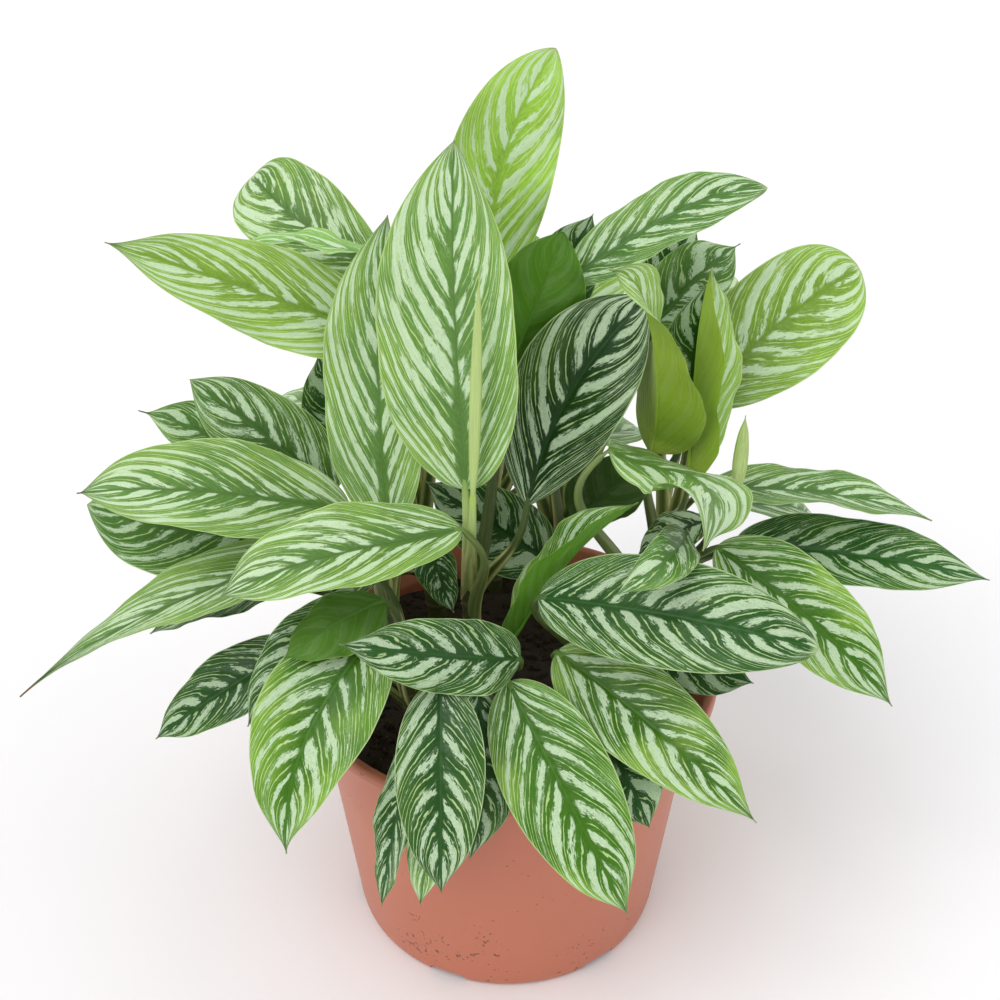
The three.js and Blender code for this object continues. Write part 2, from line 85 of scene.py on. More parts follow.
# A stalk's path: how far it leans out where it leaves the cane, how far it runs on straight at
# either end, and how much of the blade's way and of upright there is in its last direction.
STALK_LEAN = 0.35
STALK_RUN = (0.45, 0.35)
STALK_END = (0.45, 0.55)

# How stations draw together along a blade, where its drawn-out tip begins, and the half widths
# that it keeps near the tip and at its ends, in millimetres.
STATION_POWER = 0.95
DRIP_FROM = 0.75
TIP_HALF = 1.2
END_HALF = 0.3

# Width of the soft groove over a midrib, in metres.
GROOVE_WIDTH = 0.0016

# What each leaf's seed adds to the one before.
SEED_STEP = 0.618

# Colours of shades and marks, 0 to 255.
TONES = {
    "dry tip": (150, 120, 70),
    "old cane": (62, 66, 34),
    "leaf scar": (128, 116, 78),
    "clay shade": (188, 110, 84),
    "scuff": (216, 160, 138),
    "dirt": (84, 54, 40),
    "hollow soil": (34, 25, 20),
    "fibre": (132, 104, 74),
}

# How far every back goes over to one green, and how pale a soft leaf's stalk is.
BACK_EVENNESS = 0.15
SOFT_TO_YOUNG = 0.3

# Where the pattern of soil specks on the pot is taken from, in metres.
SPLASH_SHIFT = (0.062, -0.018, -0.004)

# The drain slots round the pot's foot: how far inside and outside the foot they are cut, in
# metres, and the corners of one, in millimetres.
SLOTS = 6
FIRST_SLOT_TURN = 7
SLOT_REACH = (-0.006, 0.0145)
SLOT = ((-11.5, -1), (11.5, -1), (11.5, 4.5), (9.5, 6.5), (-9.5, 6.5), (-11.5, 4.5))

# The soil's mesh, its room to the wall, the heights of its rings along the wall, the heights
# between which the wall is straight, and how high its swells and lumps are, in millimetres, and
# the radius over which crumbs are counted, in metres.
SOIL_RINGS = 40
SOIL_SIDES = 96
SOIL_ROOM = 0.3
SOIL_HEIGHTS = (9, 80, 150)
WALL_FROM = 5
WALL_TO = 160
WALL_INSIDE = 106.5
SOIL_SWELL = 2.5
SOIL_LUMP = 1.1
CRUMB_RADIUS = 0.106

# The lamps: place, share of the key light's strength, and width in degrees.
LAMPS = {
    "key": ((-0.7, -0.8, 1.5), 1.0, 50),
    "fill": ((1.3, -0.3, 1.1), 0.3, 70),
    "back": ((0.1, 1.0, 1.3), 0.3, 70),
}

# The floor's corners, in metres.
FLOOR = ((-6, -4, 0), (6, -4, 0), (6, 8, 0), (-6, 8, 0))

# Where the camera stands, in metres, and its tilt from straight down, in degrees.
CAMERA_PLACE = (-0.0042, -0.793, 0.835)
CAMERA_TILT = 55.26


class Leaf(NamedTuple):
    """One leaf. Lengths are in millimetres, turns in degrees, the rest in shares of its length."""

    at: float  # height on the cane where the stalk leaves it
    base: tuple  # where the stalk meets the blade
    tip: tuple
    width: float
    face: tuple  # the way that the upper side looks
    look: str
    arch: tuple = (0.06, 0.14)  # how far the midrib rises over a straight line, near and far
    bow: float = 0  # how far it bends sideways
    reach: float = 0  # how late the bend comes
    fold: float = 10  # how far each half is folded up
    twist: float = 0
    twist_power: float = 0  # how late the twist comes, or 0 for an even one about the middle
    base_power: float = 0.55  # how slender the base is
    tip_power: float = 0.8  # how slender the tip is
    drip: float = 0.5  # how much more slender the last quarter is
    tail: float = 0  # share that is a thin dry tail
    ruffle: float = 1  # how strongly the margin waves
    deep: float = 1  # ground brightness: own tone, painted shade below 1, painted light above 1
    sweep: float = 1  # how far the side veins run towards the tip
    young: Optional[float] = None  # how pale the stalk is, or None to go by the look
    rolled: bool = False  # still a spear


class Stem(NamedTuple):
    """A cane and its leaves, in millimetres."""

    foot: tuple
    lean: tuple  # how far the cane drifts sideways in 100 mm of height
    top: float
    radius: float
    leaves: dict


class Look(NamedTuple):
    """How a kind of leaf is coloured, besides its ground."""

    pale: float  # how far the silver goes over to the ground
    soft: float  # 1 for the blurred stripes of a light leaf, 0 for crisp ones
    glow: float  # how far the ground turns lime towards the margin
    back: tuple  # colour of the back, 0 to 255


LOOKS = {
    # The lime back is brighter than the underside's own colour: painted light shining through the
    # thin young leaves.
    "lime": Look(pale=0.04, soft=0.75, glow=0.8, back=(165, 196, 62)),
    "light": Look(pale=0, soft=1, glow=0.5, back=(108, 150, 66)),
    "mid": Look(pale=0.08, soft=0.25, glow=0.3, back=(92, 132, 56)),
    "rich": Look(pale=0.12, soft=0.3, glow=0.7, back=(92, 150, 34)),
    "dark": Look(pale=0.2, soft=0, glow=0.12, back=(64, 102, 40)),
}

# The ten stems, from the middle to the front and then round to the back.
STEMS = {
    "stem_centre": Stem(foot=(-18, 18), lean=(-6, -14), top=222, radius=6.5, leaves={
        "crown": Leaf(
            212, (-22, -32, 314), (-26, 12, 486), 80, (-0.4, -1, 0.45), "light", (0, 0.05),
            bow=-0.01, tip_power=0.68, fold=20, drip=0.2, young=1.0,
        ),
        "dark_right": Leaf(
            205, (10, -18, 294), (76, 26, 398), 64, (-0.3, -0.85, 0.6), "dark", (0.02, 0.06),
            bow=-0.1, base_power=0.8, deep=0.6, sweep=1.5,
        ),
        "front_left": Leaf(
            190, (-24, -42, 296), (-144, -84, 284), 50, (-0.1, -0.45, 0.95), "light", (0.04, 0.17),
            tip_power=0.6, fold=15, deep=0.85,
        ),
        "new_leaf": Leaf(
            216, (-18, -42, 314), (-14, -34, 440), 13, (0, -1, 0.3), "lime", (0, 0), fold=60,
            rolled=True, young=1.0,
        ),
        "edge_on": Leaf(
            178, (2, -28, 212), (66, -44, 314), 38, (-0.6, 0.15, 0.75), "rich", (0.05, 0.1),
            fold=45,
        ),
        "plain_back": Leaf(
            206, (-2, 32, 336), (28, 32, 428), 52, (0.1, 0.95, -0.3), "rich", (-0.02, -0.05),
            tip_power=0.65, drip=0.2, ruffle=2.0, deep=0.8,
        ),
    }),
    "stem_left": Stem(foot=(-60, 5), lean=(-14, 0), top=212, radius=6, leaves={
        "left_centre": Leaf(
            208, (-64, -14, 273), (-60, 22, 442), 60, (-0.5, -1, 0.4), "light", (0, 0.05),
            bow=-0.03, tip_power=0.7, fold=15, drip=0.3,
        ),
        "far_left": Leaf(
            205, (-58, 44, 356), (-200, 12, 432), 52, (0, -0.75, 0.8), "lime", (0.03, 0.05),
            deep=0.85,
        ),
        "left": Leaf(
            192, (-84, -4, 280), (-222, -30, 310), 57, (-0.1, -0.5, 0.9), "light", (0.08, 0.15),
            tip_power=0.6, fold=14, drip=0.3, tail=0.015, deep=0.9,
        ),
        "long_tip": Leaf(
            182, (-86, -16, 270), (-256, -76, 212), 46, (-0.2, -0.2, 0.95), "light", (0.05, 0.14),
            tip_power=1.3, fold=14, tail=0.05, deep=0.9,
        ),
    }),
    "stem_front_left": Stem(foot=(-50, -45), lean=(-10, -14), top=205, radius=6, leaves={
        "left_shade": Leaf(
            176, (-70, -22, 250), (-118, -28, 252), 24, (0, -0.6, 0.9), "dark", (0, 0), deep=0.6,
        ),
        "big_front_left": Leaf(
            198, (-64, -68, 252), (-114, -136, 158), 62, (-0.25, -0.85, 0.45), "rich", (0.1, 0.2),
            bow=0.12, tip_power=0.9,
        ),
        "turned_left": Leaf(
            188, (-64, -58, 262), (-114, -88, 248), 36, (0.2, 0.5, -0.8), "rich", (-0.1, -0.1),
            deep=0.6,
        ),
        "striped_left": Leaf(
            180, (-72, -44, 252), (-136, -88, 202), 40, (-0.45, -0.75, 0.5), "dark", (0.1, 0.15),
            bow=0.04,
        ),
        "lower_left": Leaf(
            170, (-112, -40, 218), (-192, -60, 168), 38, (-0.3, -0.65, 0.7), "dark", (0.05, 0.1),
        ),
        "centre_front": Leaf(
            192, (6, -76, 238), (-82, -118, 282), 40, (0, -0.9, 0.6), "dark", (0.12, 0.1),
            ruffle=2.0,
        ),
    }),
    "stem_front": Stem(foot=(2, -62), lean=(-10, -12), top=200, radius=6, leaves={
        "front_dark": Leaf(
            194, (-34, -100, 244), (-34, -156, 150), 46, (0, -0.9, 0.5), "dark", (0.08, 0.18),
            tip_power=0.85,
        ),
        "front_strip": Leaf(
            184, (-16, -82, 222), (-20, -132, 150), 36, (0.3, -0.8, 0.5), "dark", (0.08, 0.15),
            bow=-0.05,
        ),
        "front_narrow": Leaf(
            176, (-48, -102, 208), (-66, -140, 124), 24, (-0.6, -0.7, 0.3), "dark", (0.1, 0.1),
            bow=-0.05,
        ),
        "front_small": Leaf(
            168, (-36, -104, 194), (-46, -140, 124), 24, (0, -0.9, 0.4), "light", (0.1, 0.1),
        ),
        "front_right": Leaf(
            190, (0, -80, 226), (62, -150, 128), 58, (0.1, -0.9, 0.45), "rich", (0.08, 0.18),
            tip_power=0.8,
        ),
    }),
    "stem_front_right": Stem(foot=(40, -32), lean=(12, -8), top=205, radius=6, leaves={
        "right_front": Leaf(
            192, (26, -56, 226), (126, -136, 180), 52, (0.15, -0.8, 0.6), "rich", (0.08, 0.15),
            bow=-0.02, tip_power=0.9, deep=0.85,
        ),
        "right_big": Leaf(
            200, (16, -50, 258), (154, -100, 264), 58, (0.1, -0.75, 0.75), "dark", (0.1, 0.16),
            bow=-0.01, tip_power=0.65, drip=0, deep=1.1,
        ),
        "right_under": Leaf(
            176, (78, -24, 194), (134, -44, 194), 34, (0, -0.5, 0.85), "dark", (0.05, 0.1),
        ),
        "front_behind": Leaf(
            168, (48, -80, 188), (74, -118, 158), 38, (0.3, -0.8, 0.5), "dark", (0.2, 0.2),
        ),
        "light_curl": Leaf(
            188, (91, -47, 297), (52, -88, 288), 26, (0.1, -0.75, 0.65), "mid", (0.2, 0.65),
            bow=-0.05,
        ),
    }),
    "stem_right": Stem(foot=(68, 22), lean=(16, 0), top=218, radius=6.5, leaves={
        "far_right_low": Leaf(
            196, (128, 24, 240), (268, 4, 228), 44, (0, -0.5, 0.9), "dark", (0.03, 0.09), deep=1.3,
        ),
        "right_bright": Leaf(
            186, (114, 0, 254), (208, -56, 188), 55, (0.2, -0.65, 0.75), "rich", (0.06, 0.12),
            bow=-0.02, tip_power=0.85,
        ),
        "right_curl": Leaf(
            200, (51, -32, 338), (96, -76, 307), 82, (0.75, -0.2, 0.6), "light", (-0.06, 0.6),
            bow=-0.36, tip_power=0.6, fold=-5, ruffle=1.6,
        ),
        "under_curl": Leaf(
            188, (107, 6, 267), (70, -12, 257), 24, (-0.1, -0.5, 0.85), "dark", (0.1, 0.2),
            deep=0.6,
        ),
    }),
    "stem_back": Stem(foot=(25, 62), lean=(8, -4), top=225, radius=6.5, leaves={
        "top": Leaf(
            222, (-8, 54, 384), (24, 80, 506), 56, (0, -0.9, 0.45), "lime", (0, 0.05), bow=-0.12,
            tip_power=0.6, drip=0.1, deep=1.3,
        ),
        "upper_right": Leaf(
            222, (28, 40, 394), (134, 64, 437), 36, (0.05, -0.5, 0.85), "mid", (0.06, 0.26),
            bow=-0.02, tip_power=0.6, drip=0.1,
        ),
        "hook": Leaf(
            214, (80, 66, 356), (126, 88, 393), 42, (0, -0.6, 0.8), "mid", (0.1, 0.3), tail=0.04,
        ),
        "behind_right": Leaf(
            208, (74, 90, 358), (104, 104, 396), 34, (0, -0.6, 0.8), "dark", (0.1, 0.1),
        ),
        "inner_back": Leaf(
            196, (96, 36, 306), (104, 48, 390), 46, (0.1, -0.8, 0.3), "dark", (0, 0),
        ),
        "shade_right": Leaf(
            182, (37, 26, 253), (74, 3, 311), 40, (0, 0.9, -0.3), "dark", (0, 0.02), deep=0.6,
        ),
        "behind_top": Leaf(
            212, (14, 70, 350), (46, 90, 410), 40, (0, -0.8, 0.5), "dark", (0.05, 0.1),
        ),
        "inner_centre": Leaf(
            176, (26, 35, 216), (-46, 46, 266), 46, (0, -0.8, 0.5), "dark", (0.05, 0.1),
        ),
        "back_tall": Leaf(
            219, (40, 106, 342), (70, 186, 346), 54, (0.1, 0.3, 1), "lime", (0.08, 0.2),
        ),
    }),
    "stem_back_left": Stem(foot=(-42, 62), lean=(-12, -4), top=222, radius=6.5, leaves={
        "upper_left": Leaf(
            216, (-68, 82, 380), (-142, 138, 410), 54, (-0.1, -0.7, 0.75), "light", (0.1, 0.28),
            bow=-0.1, tip_power=0.42, drip=0.1, deep=0.85,
        ),
        "upper_sliver": Leaf(
            212, (-64, 60, 398), (-138, 52, 410), 30, (0, 0.15, 1), "light", (0.05, 0.12),
            tip_power=0.6, deep=1.6,
        ),
        "mid_left": Leaf(
            205, (-94, 16, 280), (-168, 24, 346), 48, (-0.1, -0.75, 0.8), "mid", (0.08, 0.14),
            tip_power=0.6, base_power=0.4, drip=0.3, sweep=1.3, deep=0.85,
        ),
        "left_small": Leaf(
            196, (-120, 38, 280), (-202, 44, 314), 42, (-0.1, -0.5, 0.85), "mid", (0.06, 0.1),
            tail=0.04,
        ),
        "left_behind": Leaf(
            200, (-86, 44, 282), (-104, 60, 340), 40, (-0.1, -0.5, 0.85), "dark", (0.06, 0.1),
        ),
        "under_left": Leaf(
            188, (-104, 8, 252), (-226, 0, 282), 62, (-0.1, -0.7, 0.8), "mid", (0.05, 0), bow=-0.05,
            tip_power=0.5, drip=0.3,
        ),
        "behind_long": Leaf(
            178, (-108, -4, 238), (-198, -16, 206), 34, (0, -0.1, 1), "dark", (0.05, 0.1),
        ),
        "back_left": Leaf(
            198, (-78, 112, 262), (-160, 184, 222), 56, (-0.3, 0.3, 1), "light", (0.1, 0.2),
        ),
        "back_high_left": Leaf(
            214, (-52, 112, 322), (-96, 190, 318), 50, (-0.2, 0.2, 1), "lime", (0.1, 0.2),
        ),
        "inner_left": Leaf(
            182, (-46, 26, 246), (-30, -2, 210), 24, (-0.2, -0.9, 0.4), "dark", (0.05, 0.1),
        ),
        "back_tall_left": Leaf(
            220, (-36, 118, 350), (-50, 196, 344), 52, (-0.1, 0.3, 1), "mid", (0.08, 0.2),
        ),
        "side_left": Leaf(
            190, (-116, 74, 250), (-196, 116, 206), 50, (-0.5, 0.2, 0.9), "dark", (0.1, 0.2),
        ),
    }),
    "stem_back_right": Stem(foot=(74, 54), lean=(34, 16), top=220, radius=6.5, leaves={
        "far_right_up": Leaf(
            206, (108, 24, 276), (234, 16, 260), 46, (0, 0.1, 1), "mid", (0.06, 0.1),
        ),
        "right_lime": Leaf(
            212, (106, 52, 314), (194, 96, 374), 66, (0.2, -0.8, 0.6), "lime", (0.03, 0.12),
            bow=-0.07, tip_power=0.45, drip=0.1, deep=0.8,
        ),
        "spear": Leaf(
            214, (122, -2, 292), (124, 4, 336), 17, (0.2, -1, 0.1), "lime", (0, 0), fold=60,
            rolled=True, young=0.9,
        ),
        "upright_back": Leaf(
            204, (99, 18, 290), (104, 28, 410), 58, (0.95, -0.3, 0.1), "lime", (0, -0.05), fold=40,
        ),
        "folded": Leaf(
            200, (76, 16, 306), (48, -22, 434), 50, (0.6, 0.75, -0.3), "lime", (0, 0.1), bow=-0.15,
            tip_power=0.8, base_power=0.34, fold=25, twist=120, twist_power=1.8, reach=0.35,
            deep=0.85,
        ),
        "back_right": Leaf(
            200, (110, 108, 280), (164, 178, 276), 54, (0.3, 0.3, 1), "mid", (0.1, 0.2),
        ),
        "back_high_right": Leaf(
            214, (92, 112, 318), (132, 190, 322), 50, (0.2, 0.2, 1), "light", (0.1, 0.2),
        ),
        "side_right": Leaf(
            192, (136, 80, 226), (196, 112, 184), 50, (0.5, 0.2, 0.9), "mid", (0.1, 0.2),
        ),
    }),
    "stem_far_back": Stem(foot=(-8, 92), lean=(-4, 12), top=214, radius=6, leaves={
        "back_low": Leaf(184, (0, 122, 232), (4, 204, 158), 54, (0, 0.6, 0.8), "mid", (0.12, 0.22)),
        "back_left_low": Leaf(
            190, (-40, 118, 236), (-98, 188, 190), 54, (-0.3, 0.5, 0.8), "dark", (0.12, 0.22),
        ),
        "back_right_low": Leaf(
            196, (36, 120, 240), (104, 182, 196), 54, (0.4, 0.5, 0.8), "light", (0.12, 0.22),
        ),
        "back_mid": Leaf(
            206, (-10, 128, 290), (-20, 238, 268), 56, (0, 0.3, 1), "lime", (0.1, 0.2),
        ),
        "back_high": Leaf(212, (0, 124, 332), (-6, 204, 350), 50, (0, -0.2, 1), "mid", (0.1, 0.2)),
        "back_steep": Leaf(
            201, (-26, 132, 264), (-64, 210, 232), 52, (-0.2, 0.7, 0.7), "dark", (0.12, 0.22),
        ),
        "back_steep_right": Leaf(
            198, (28, 134, 268), (66, 212, 238), 52, (0.2, 0.7, 0.7), "mid", (0.12, 0.22),
        ),
        "back_inner": Leaf(
            208, (-30, 118, 306), (-66, 182, 306), 46, (-0.1, 0.4, 0.9), "light", (0.1, 0.2),
        ),
    }),
}


def srgb(red, green, blue):
    """A colour given in 0 to 255 as the linear values that Blender wants."""
    parts = []
    for part in (red, green, blue):
        part /= 255
        parts.append(part / 12.92 if part <= 0.04045 else ((part + 0.055) / 1.055) ** 2.4)
    return tuple(parts)


def tone_of(name):
    return srgb(*TONES[name])


def colour(name, description, red, green, blue):
    """A colour that the user can change."""
    return bpy.props.FloatVectorProperty(
        name=name, description=description, subtype="COLOR", size=3, min=0, max=1,
        default=srgb(red, green, blue),
    )


def length(name, description, default):
    """A length that the user can change."""
    return bpy.props.FloatProperty(
        name=name, description=description, unit="LENGTH", default=default, min=0
    )


class LeafSettings(bpy.types.PropertyGroup):
    """Sizes and colours of the leaves, stalks and canes."""

    stations: bpy.props.IntProperty(
        name="Stations", description="Steps along a leaf", default=60, min=12
    )
    strips: bpy.props.IntProperty(
        name="Strips", description="Strips across a leaf, an even number", default=28, min=4
    )
    thickness: length("Thickness", "How thick a leaf is beside its midrib", 0.0008)
    wave: length("Wave", "How far a leaf's margin rises and falls", 0.0021)
    groove: length("Groove", "How deep the midrib lies in the upper face", 0.0006)
    quilt: length("Quilting", "How far the leaf swells between its side veins", 0.00022)
    band_spacing: length("Band spacing", "From one silver band to the next, along the leaf", 0.0165)
    lime: colour("Lime", "Ground of the youngest leaves", 146, 190, 66)
    light: colour("Light", "Ground of the light leaves", 108, 154, 70)
    mid: colour("Mid", "Ground of the grown leaves", 84, 130, 54)
    rich: colour("Rich", "Ground of the deep yellow-green leaves", 68, 122, 14)
    dark: colour("Dark", "Ground of the old leaves", 38, 86, 26)
    silver: colour("Silver", "Broad bands between the side veins", 208, 233, 194)
    line: colour("Line", "Thin lines between the bands", 200, 224, 138)
    underside: colour("Underside", "Back of the leaves", 112, 148, 66)
    stalk: colour("Stalk", "Stalks of the young leaves", 180, 202, 124)
    old_stalk: colour("Old stalk", "Stalks of the old leaves", 70, 88, 38)
    sheath: colour("Sheath edge", "Dry edges of the sheaths", 216, 214, 144)
    cane: colour("Cane", "Bare canes", 92, 100, 52)


class PotSettings(bpy.types.PropertyGroup):
    """Sizes and colours of the pot and its soil."""

    height: length("Height", "From the floor to the top of the lip", POT_CORNER.z)
    rim: length("Rim", "Radius of the lip", POT_CORNER.x)
    neck: length("Neck", "Radius of the wall below the lip", 0.109)
    foot: length("Foot", "Radius of the base", 0.084)
    wall: length("Wall", "Thickness of the wall", 0.0025)
    sides: bpy.props.IntProperty(name="Sides", description="Sides of the pot", default=180, min=36)
    soil_level: length("Soil level", "Height of the soil", 0.155)
    crumbs: bpy.props.IntProperty(
        name="Crumbs", description="Crumbs on the soil", default=1500, min=0
    )
    crumb_size: length("Crumb size", "Radius of a middling crumb", 0.0019)
    clay: colour("Clay", "Colour of the pot", 200, 119, 90)
    soil: colour("Soil", "Colour of the soil", 62, 46, 34)


class StageSettings(bpy.types.PropertyGroup):
    """Floor, light and camera."""

    floor: colour("Floor", "Colour of the floor", 253, 252, 254)
    sky: bpy.props.FloatProperty(
        name="Sky", description="Light from all round", default=0.57, min=0
    )
    backdrop: bpy.props.FloatProperty(
        name="Backdrop", description="Brightness of what is seen behind the floor", default=1.0,
        min=0,
    )
    key: bpy.props.FloatProperty(
        name="Key light", description="Strength of the large soft lamp", default=1.36, min=0
    )
    lens: bpy.props.FloatProperty(
        name="Lens", description="Focal length on a 36 mm sensor", unit="CAMERA", default=64.8,
        min=10,
    )


class Wire:
    """A number or vector on its way through a node tree, with the usual signs for sums."""

    def __init__(self, net, socket):
        self.net = net
        self.socket = socket

    def summed(self, operation, *others):
        return self.net.sum(operation, self, *others)

    __add__ = __radd__ = partialmethod(summed, "ADD")
    __sub__ = partialmethod(summed, "SUBTRACT")
    __mul__ = __rmul__ = partialmethod(summed, "MULTIPLY")
    __truediv__ = partialmethod(summed, "DIVIDE")
    __pow__ = partialmethod(summed, "POWER")
    __abs__ = partialmethod(summed, "ABSOLUTE")
    __lt__ = partialmethod(summed, "LESS_THAN")
    sine = partialmethod(summed, "SINE")
    cosine = partialmethod(summed, "COSINE")
    most = partialmethod(summed, "MAXIMUM")
    part = partialmethod(summed, "FRACT")  # what stands behind the point

    def __rsub__(self, other):
        return self.net.sum("SUBTRACT", other, self)

    def step(self, low, high):
        """From 0 at low to 1 at high, with soft ends."""
        node = self.net.add("ShaderNodeMapRange", interpolation_type="SMOOTHSTEP")
        for key, value in (("Value", self), ("From Min", low), ("From Max", high)):
            self.net.feed(node.inputs[key], value)
        return Wire(self.net, node.outputs["Result"])


class Net:
    """Adds nodes to a tree and joins them up."""

    def __init__(self, tree):
        self.tree = tree

    def add(self, kind, **settings):
        node = self.tree.nodes.new(kind)
        for name, value in settings.items():
            setattr(node, name, value)
        return node

    def feed(self, socket, value):
        """Joins a wire to the socket, or sets a plain value on it."""
        if isinstance(value, Wire):
            self.tree.links.new(value.socket, socket)
        else:
            socket.default_value = value

    def sum(self, operation, *values):
        node = self.add("ShaderNodeMath", operation=operation)
        for socket, value in zip(node.inputs, values):
            self.feed(socket, value)
        return Wire(self, node.outputs[0])

    def vector(self, x, y, z):
        node = self.add("ShaderNodeCombineXYZ")
        for socket, value in zip(node.inputs, (x, y, z)):
            self.feed(socket, value)
        return Wire(self, node.outputs[0])

    def split(self, place):
        """The three parts of a vector."""
        node = self.add("ShaderNodeSeparateXYZ")
        self.feed(node.inputs[0], place)
        return [Wire(self, socket) for socket in node.outputs]

    def vector_sum(self, operation, first, second):
        """A sum of two vectors, or with SCALE a vector times a number."""
        node = self.add("ShaderNodeVectorMath", operation=operation)
        self.feed(node.inputs[0], first)
        self.feed(node.inputs["Scale" if operation == "SCALE" else 1], second)
        return Wire(self, node.outputs[0])


class Geometry(Net):
    """A Geometry Nodes tree with named inputs."""

    def __init__(self, name, **inputs):
        tree = bpy.data.node_groups.new(name, "GeometryNodeTree")
        super().__init__(tree)
        face = tree.interface
        face.new_socket("Geometry", in_out="INPUT", socket_type="NodeSocketGeometry")
        face.new_socket("Geometry", in_out="OUTPUT", socket_type="NodeSocketGeometry")
        for name, kind in inputs.items():
            face.new_socket(name.replace("_", " "), in_out="INPUT", socket_type=f"NodeSocket{kind}")
        self.entry = self.add("NodeGroupInput")

    def given(self, name):
        return Wire(self, self.entry.outputs[name])

    def read(self, name, kind="FLOAT"):
        """A named attribute of the geometry."""
        node = self.add("GeometryNodeInputNamedAttribute", data_type=kind)
        node.inputs["Name"].default_value = name
        return Wire(self, node.outputs["Attribute"])

    def keep(self, geometry, name, value):
        """Stores a number on each point under a name."""
        node = self.add("GeometryNodeStoreNamedAttribute", data_type="FLOAT", domain="POINT")
        node.inputs["Name"].default_value = name
        self.feed(node.inputs["Geometry"], geometry)
        self.feed(node.inputs["Value"], value)
        return Wire(self, node.outputs["Geometry"])

    def run(self, kind, settings=None, **inputs):
        """Adds a node, feeds its inputs by name and gives its first output."""
        node = self.add(kind, **(settings or {}))
        for name, value in inputs.items():
            self.feed(node.inputs[name.replace("_", " ")], value)
        return Wire(self, node.outputs[0])

    def join(self, *parts):
        node = self.add("GeometryNodeJoinGeometry")
        for part in parts:
            self.tree.links.new(part.socket, node.inputs[0])
        return Wire(self, node.outputs[0])

    def finish(self, geometry):
        leave = self.add("NodeGroupOutput")
        self.feed(leave.inputs[0], geometry)
        return self.tree


def grown(source, name, tree, **values):
    """The plain mesh that the tree makes of the source mesh, given the tree's inputs by name."""
    carrier = bpy.data.objects.new(name, source)
    bpy.context.scene.collection.objects.link(carrier)
    modifier = carrier.modifiers.new("Growth", "NODES")
    modifier.node_group = tree
    for item in tree.interface.items_tree:
        key = item.name.replace(" ", "_")
        if item.in_out == "INPUT" and key in values:
            modifier[item.identifier] = values[key]
    bpy.context.view_layer.update()
    seen = carrier.evaluated_get(bpy.context.evaluated_depsgraph_get())
    mesh = bpy.data.meshes.new_from_object(seen)
    carrier.modifiers.remove(modifier)
    bpy.data.objects.remove(carrier)
    bpy.data.meshes.remove(source)
    return mesh


def placed(name, mesh, slot, *nodes):
    """A finished piece that stands for its solids."""
    piece = bpy.data.objects.new(name, mesh)
    bpy.context.scene.collection.objects.link(piece)
    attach(piece, "root")
    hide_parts(*nodes)
    return piece


class Shader(Net):
    """A material's node tree, with one surface shader that the finishes feed."""

    def __init__(self, name, **constants):
        self.material = bpy.data.materials.new(name)
        self.material.use_nodes = True
        super().__init__(self.material.node_tree)
        self.surface = self.tree.nodes["Principled BSDF"]
        for key, value in constants.items():
            self.surface.inputs[key.replace("_", " ")].default_value = value

    def read(self, name, output="Fac"):
        node = self.add("ShaderNodeAttribute", attribute_name=name)
        return Wire(self, node.outputs[output])

    def here(self):
        """The place on the object, in metres."""
        return Wire(self, self.add("ShaderNodeTexCoord").outputs["Object"])

    def noise(self, where, scale=1, detail=2, roughness=0.5):
        """Cloudy values about 0, from about -0.5 to 0.5."""
        node = self.add("ShaderNodeTexNoise")
        for key, value in (
            ("Vector", where), ("Scale", scale), ("Detail", detail), ("Roughness", roughness)
        ):
            self.feed(node.inputs[key], value)
        return Wire(self, node.outputs[0]) - 0.5

    def blend(self, share, first, second):
        """Goes from the first colour to the second as the share goes from 0 to 1."""
        node = self.add("ShaderNodeMix", data_type="RGBA", clamp_factor=True)
        self.feed(node.inputs[0], share)
        self.feed(node.inputs[6], first if isinstance(first, Wire) else (*first, 1))
        self.feed(node.inputs[7], second if isinstance(second, Wire) else (*second, 1))
        return Wire(self, node.outputs[2])

    def cells(self, where):
        """Values from -0.5 to 0.5, each the same over one small cell."""
        node = self.add("ShaderNodeTexVoronoi")
        node.inputs["Scale"].default_value = 1
        self.feed(node.inputs["Vector"], where)
        return Wire(self, node.outputs["Color"]) - 0.5

    def chance(self, where):
        """A number from 0 to 1 that is its own at every place."""
        node = self.add("ShaderNodeTexWhiteNoise")
        self.feed(node.inputs["Vector"], where)
        return Wire(self, node.outputs["Value"])

    def brighten(self, tone, amount):
        """The colour times a number."""
        return self.vector_sum("SCALE", tone, amount)

    def finish(self, tone, roughness=None, height=None, depth=None):
        """Joins colour, roughness and relief to the surface shader, and gives the material."""
        self.feed(self.surface.inputs["Base Color"], tone)
        if roughness is not None:
            self.feed(self.surface.inputs["Roughness"], roughness)
        if height is not None:
            bump = self.add("ShaderNodeBump")
            bump.inputs["Distance"].default_value = depth
            self.feed(bump.inputs["Height"], height)
            self.feed(self.surface.inputs["Normal"], Wire(self, bump.outputs[0]))
        return self.material


def vein_start(net, along, aside):
    """Share of the midrib at which the side vein through a place sets out."""
    soft, sweep = net.read("soft"), net.read("sweep")
    return along - (aside * (soft * 0.15 + 0.18) + aside**3 * (soft * 0.06 + 0.13)) * sweep


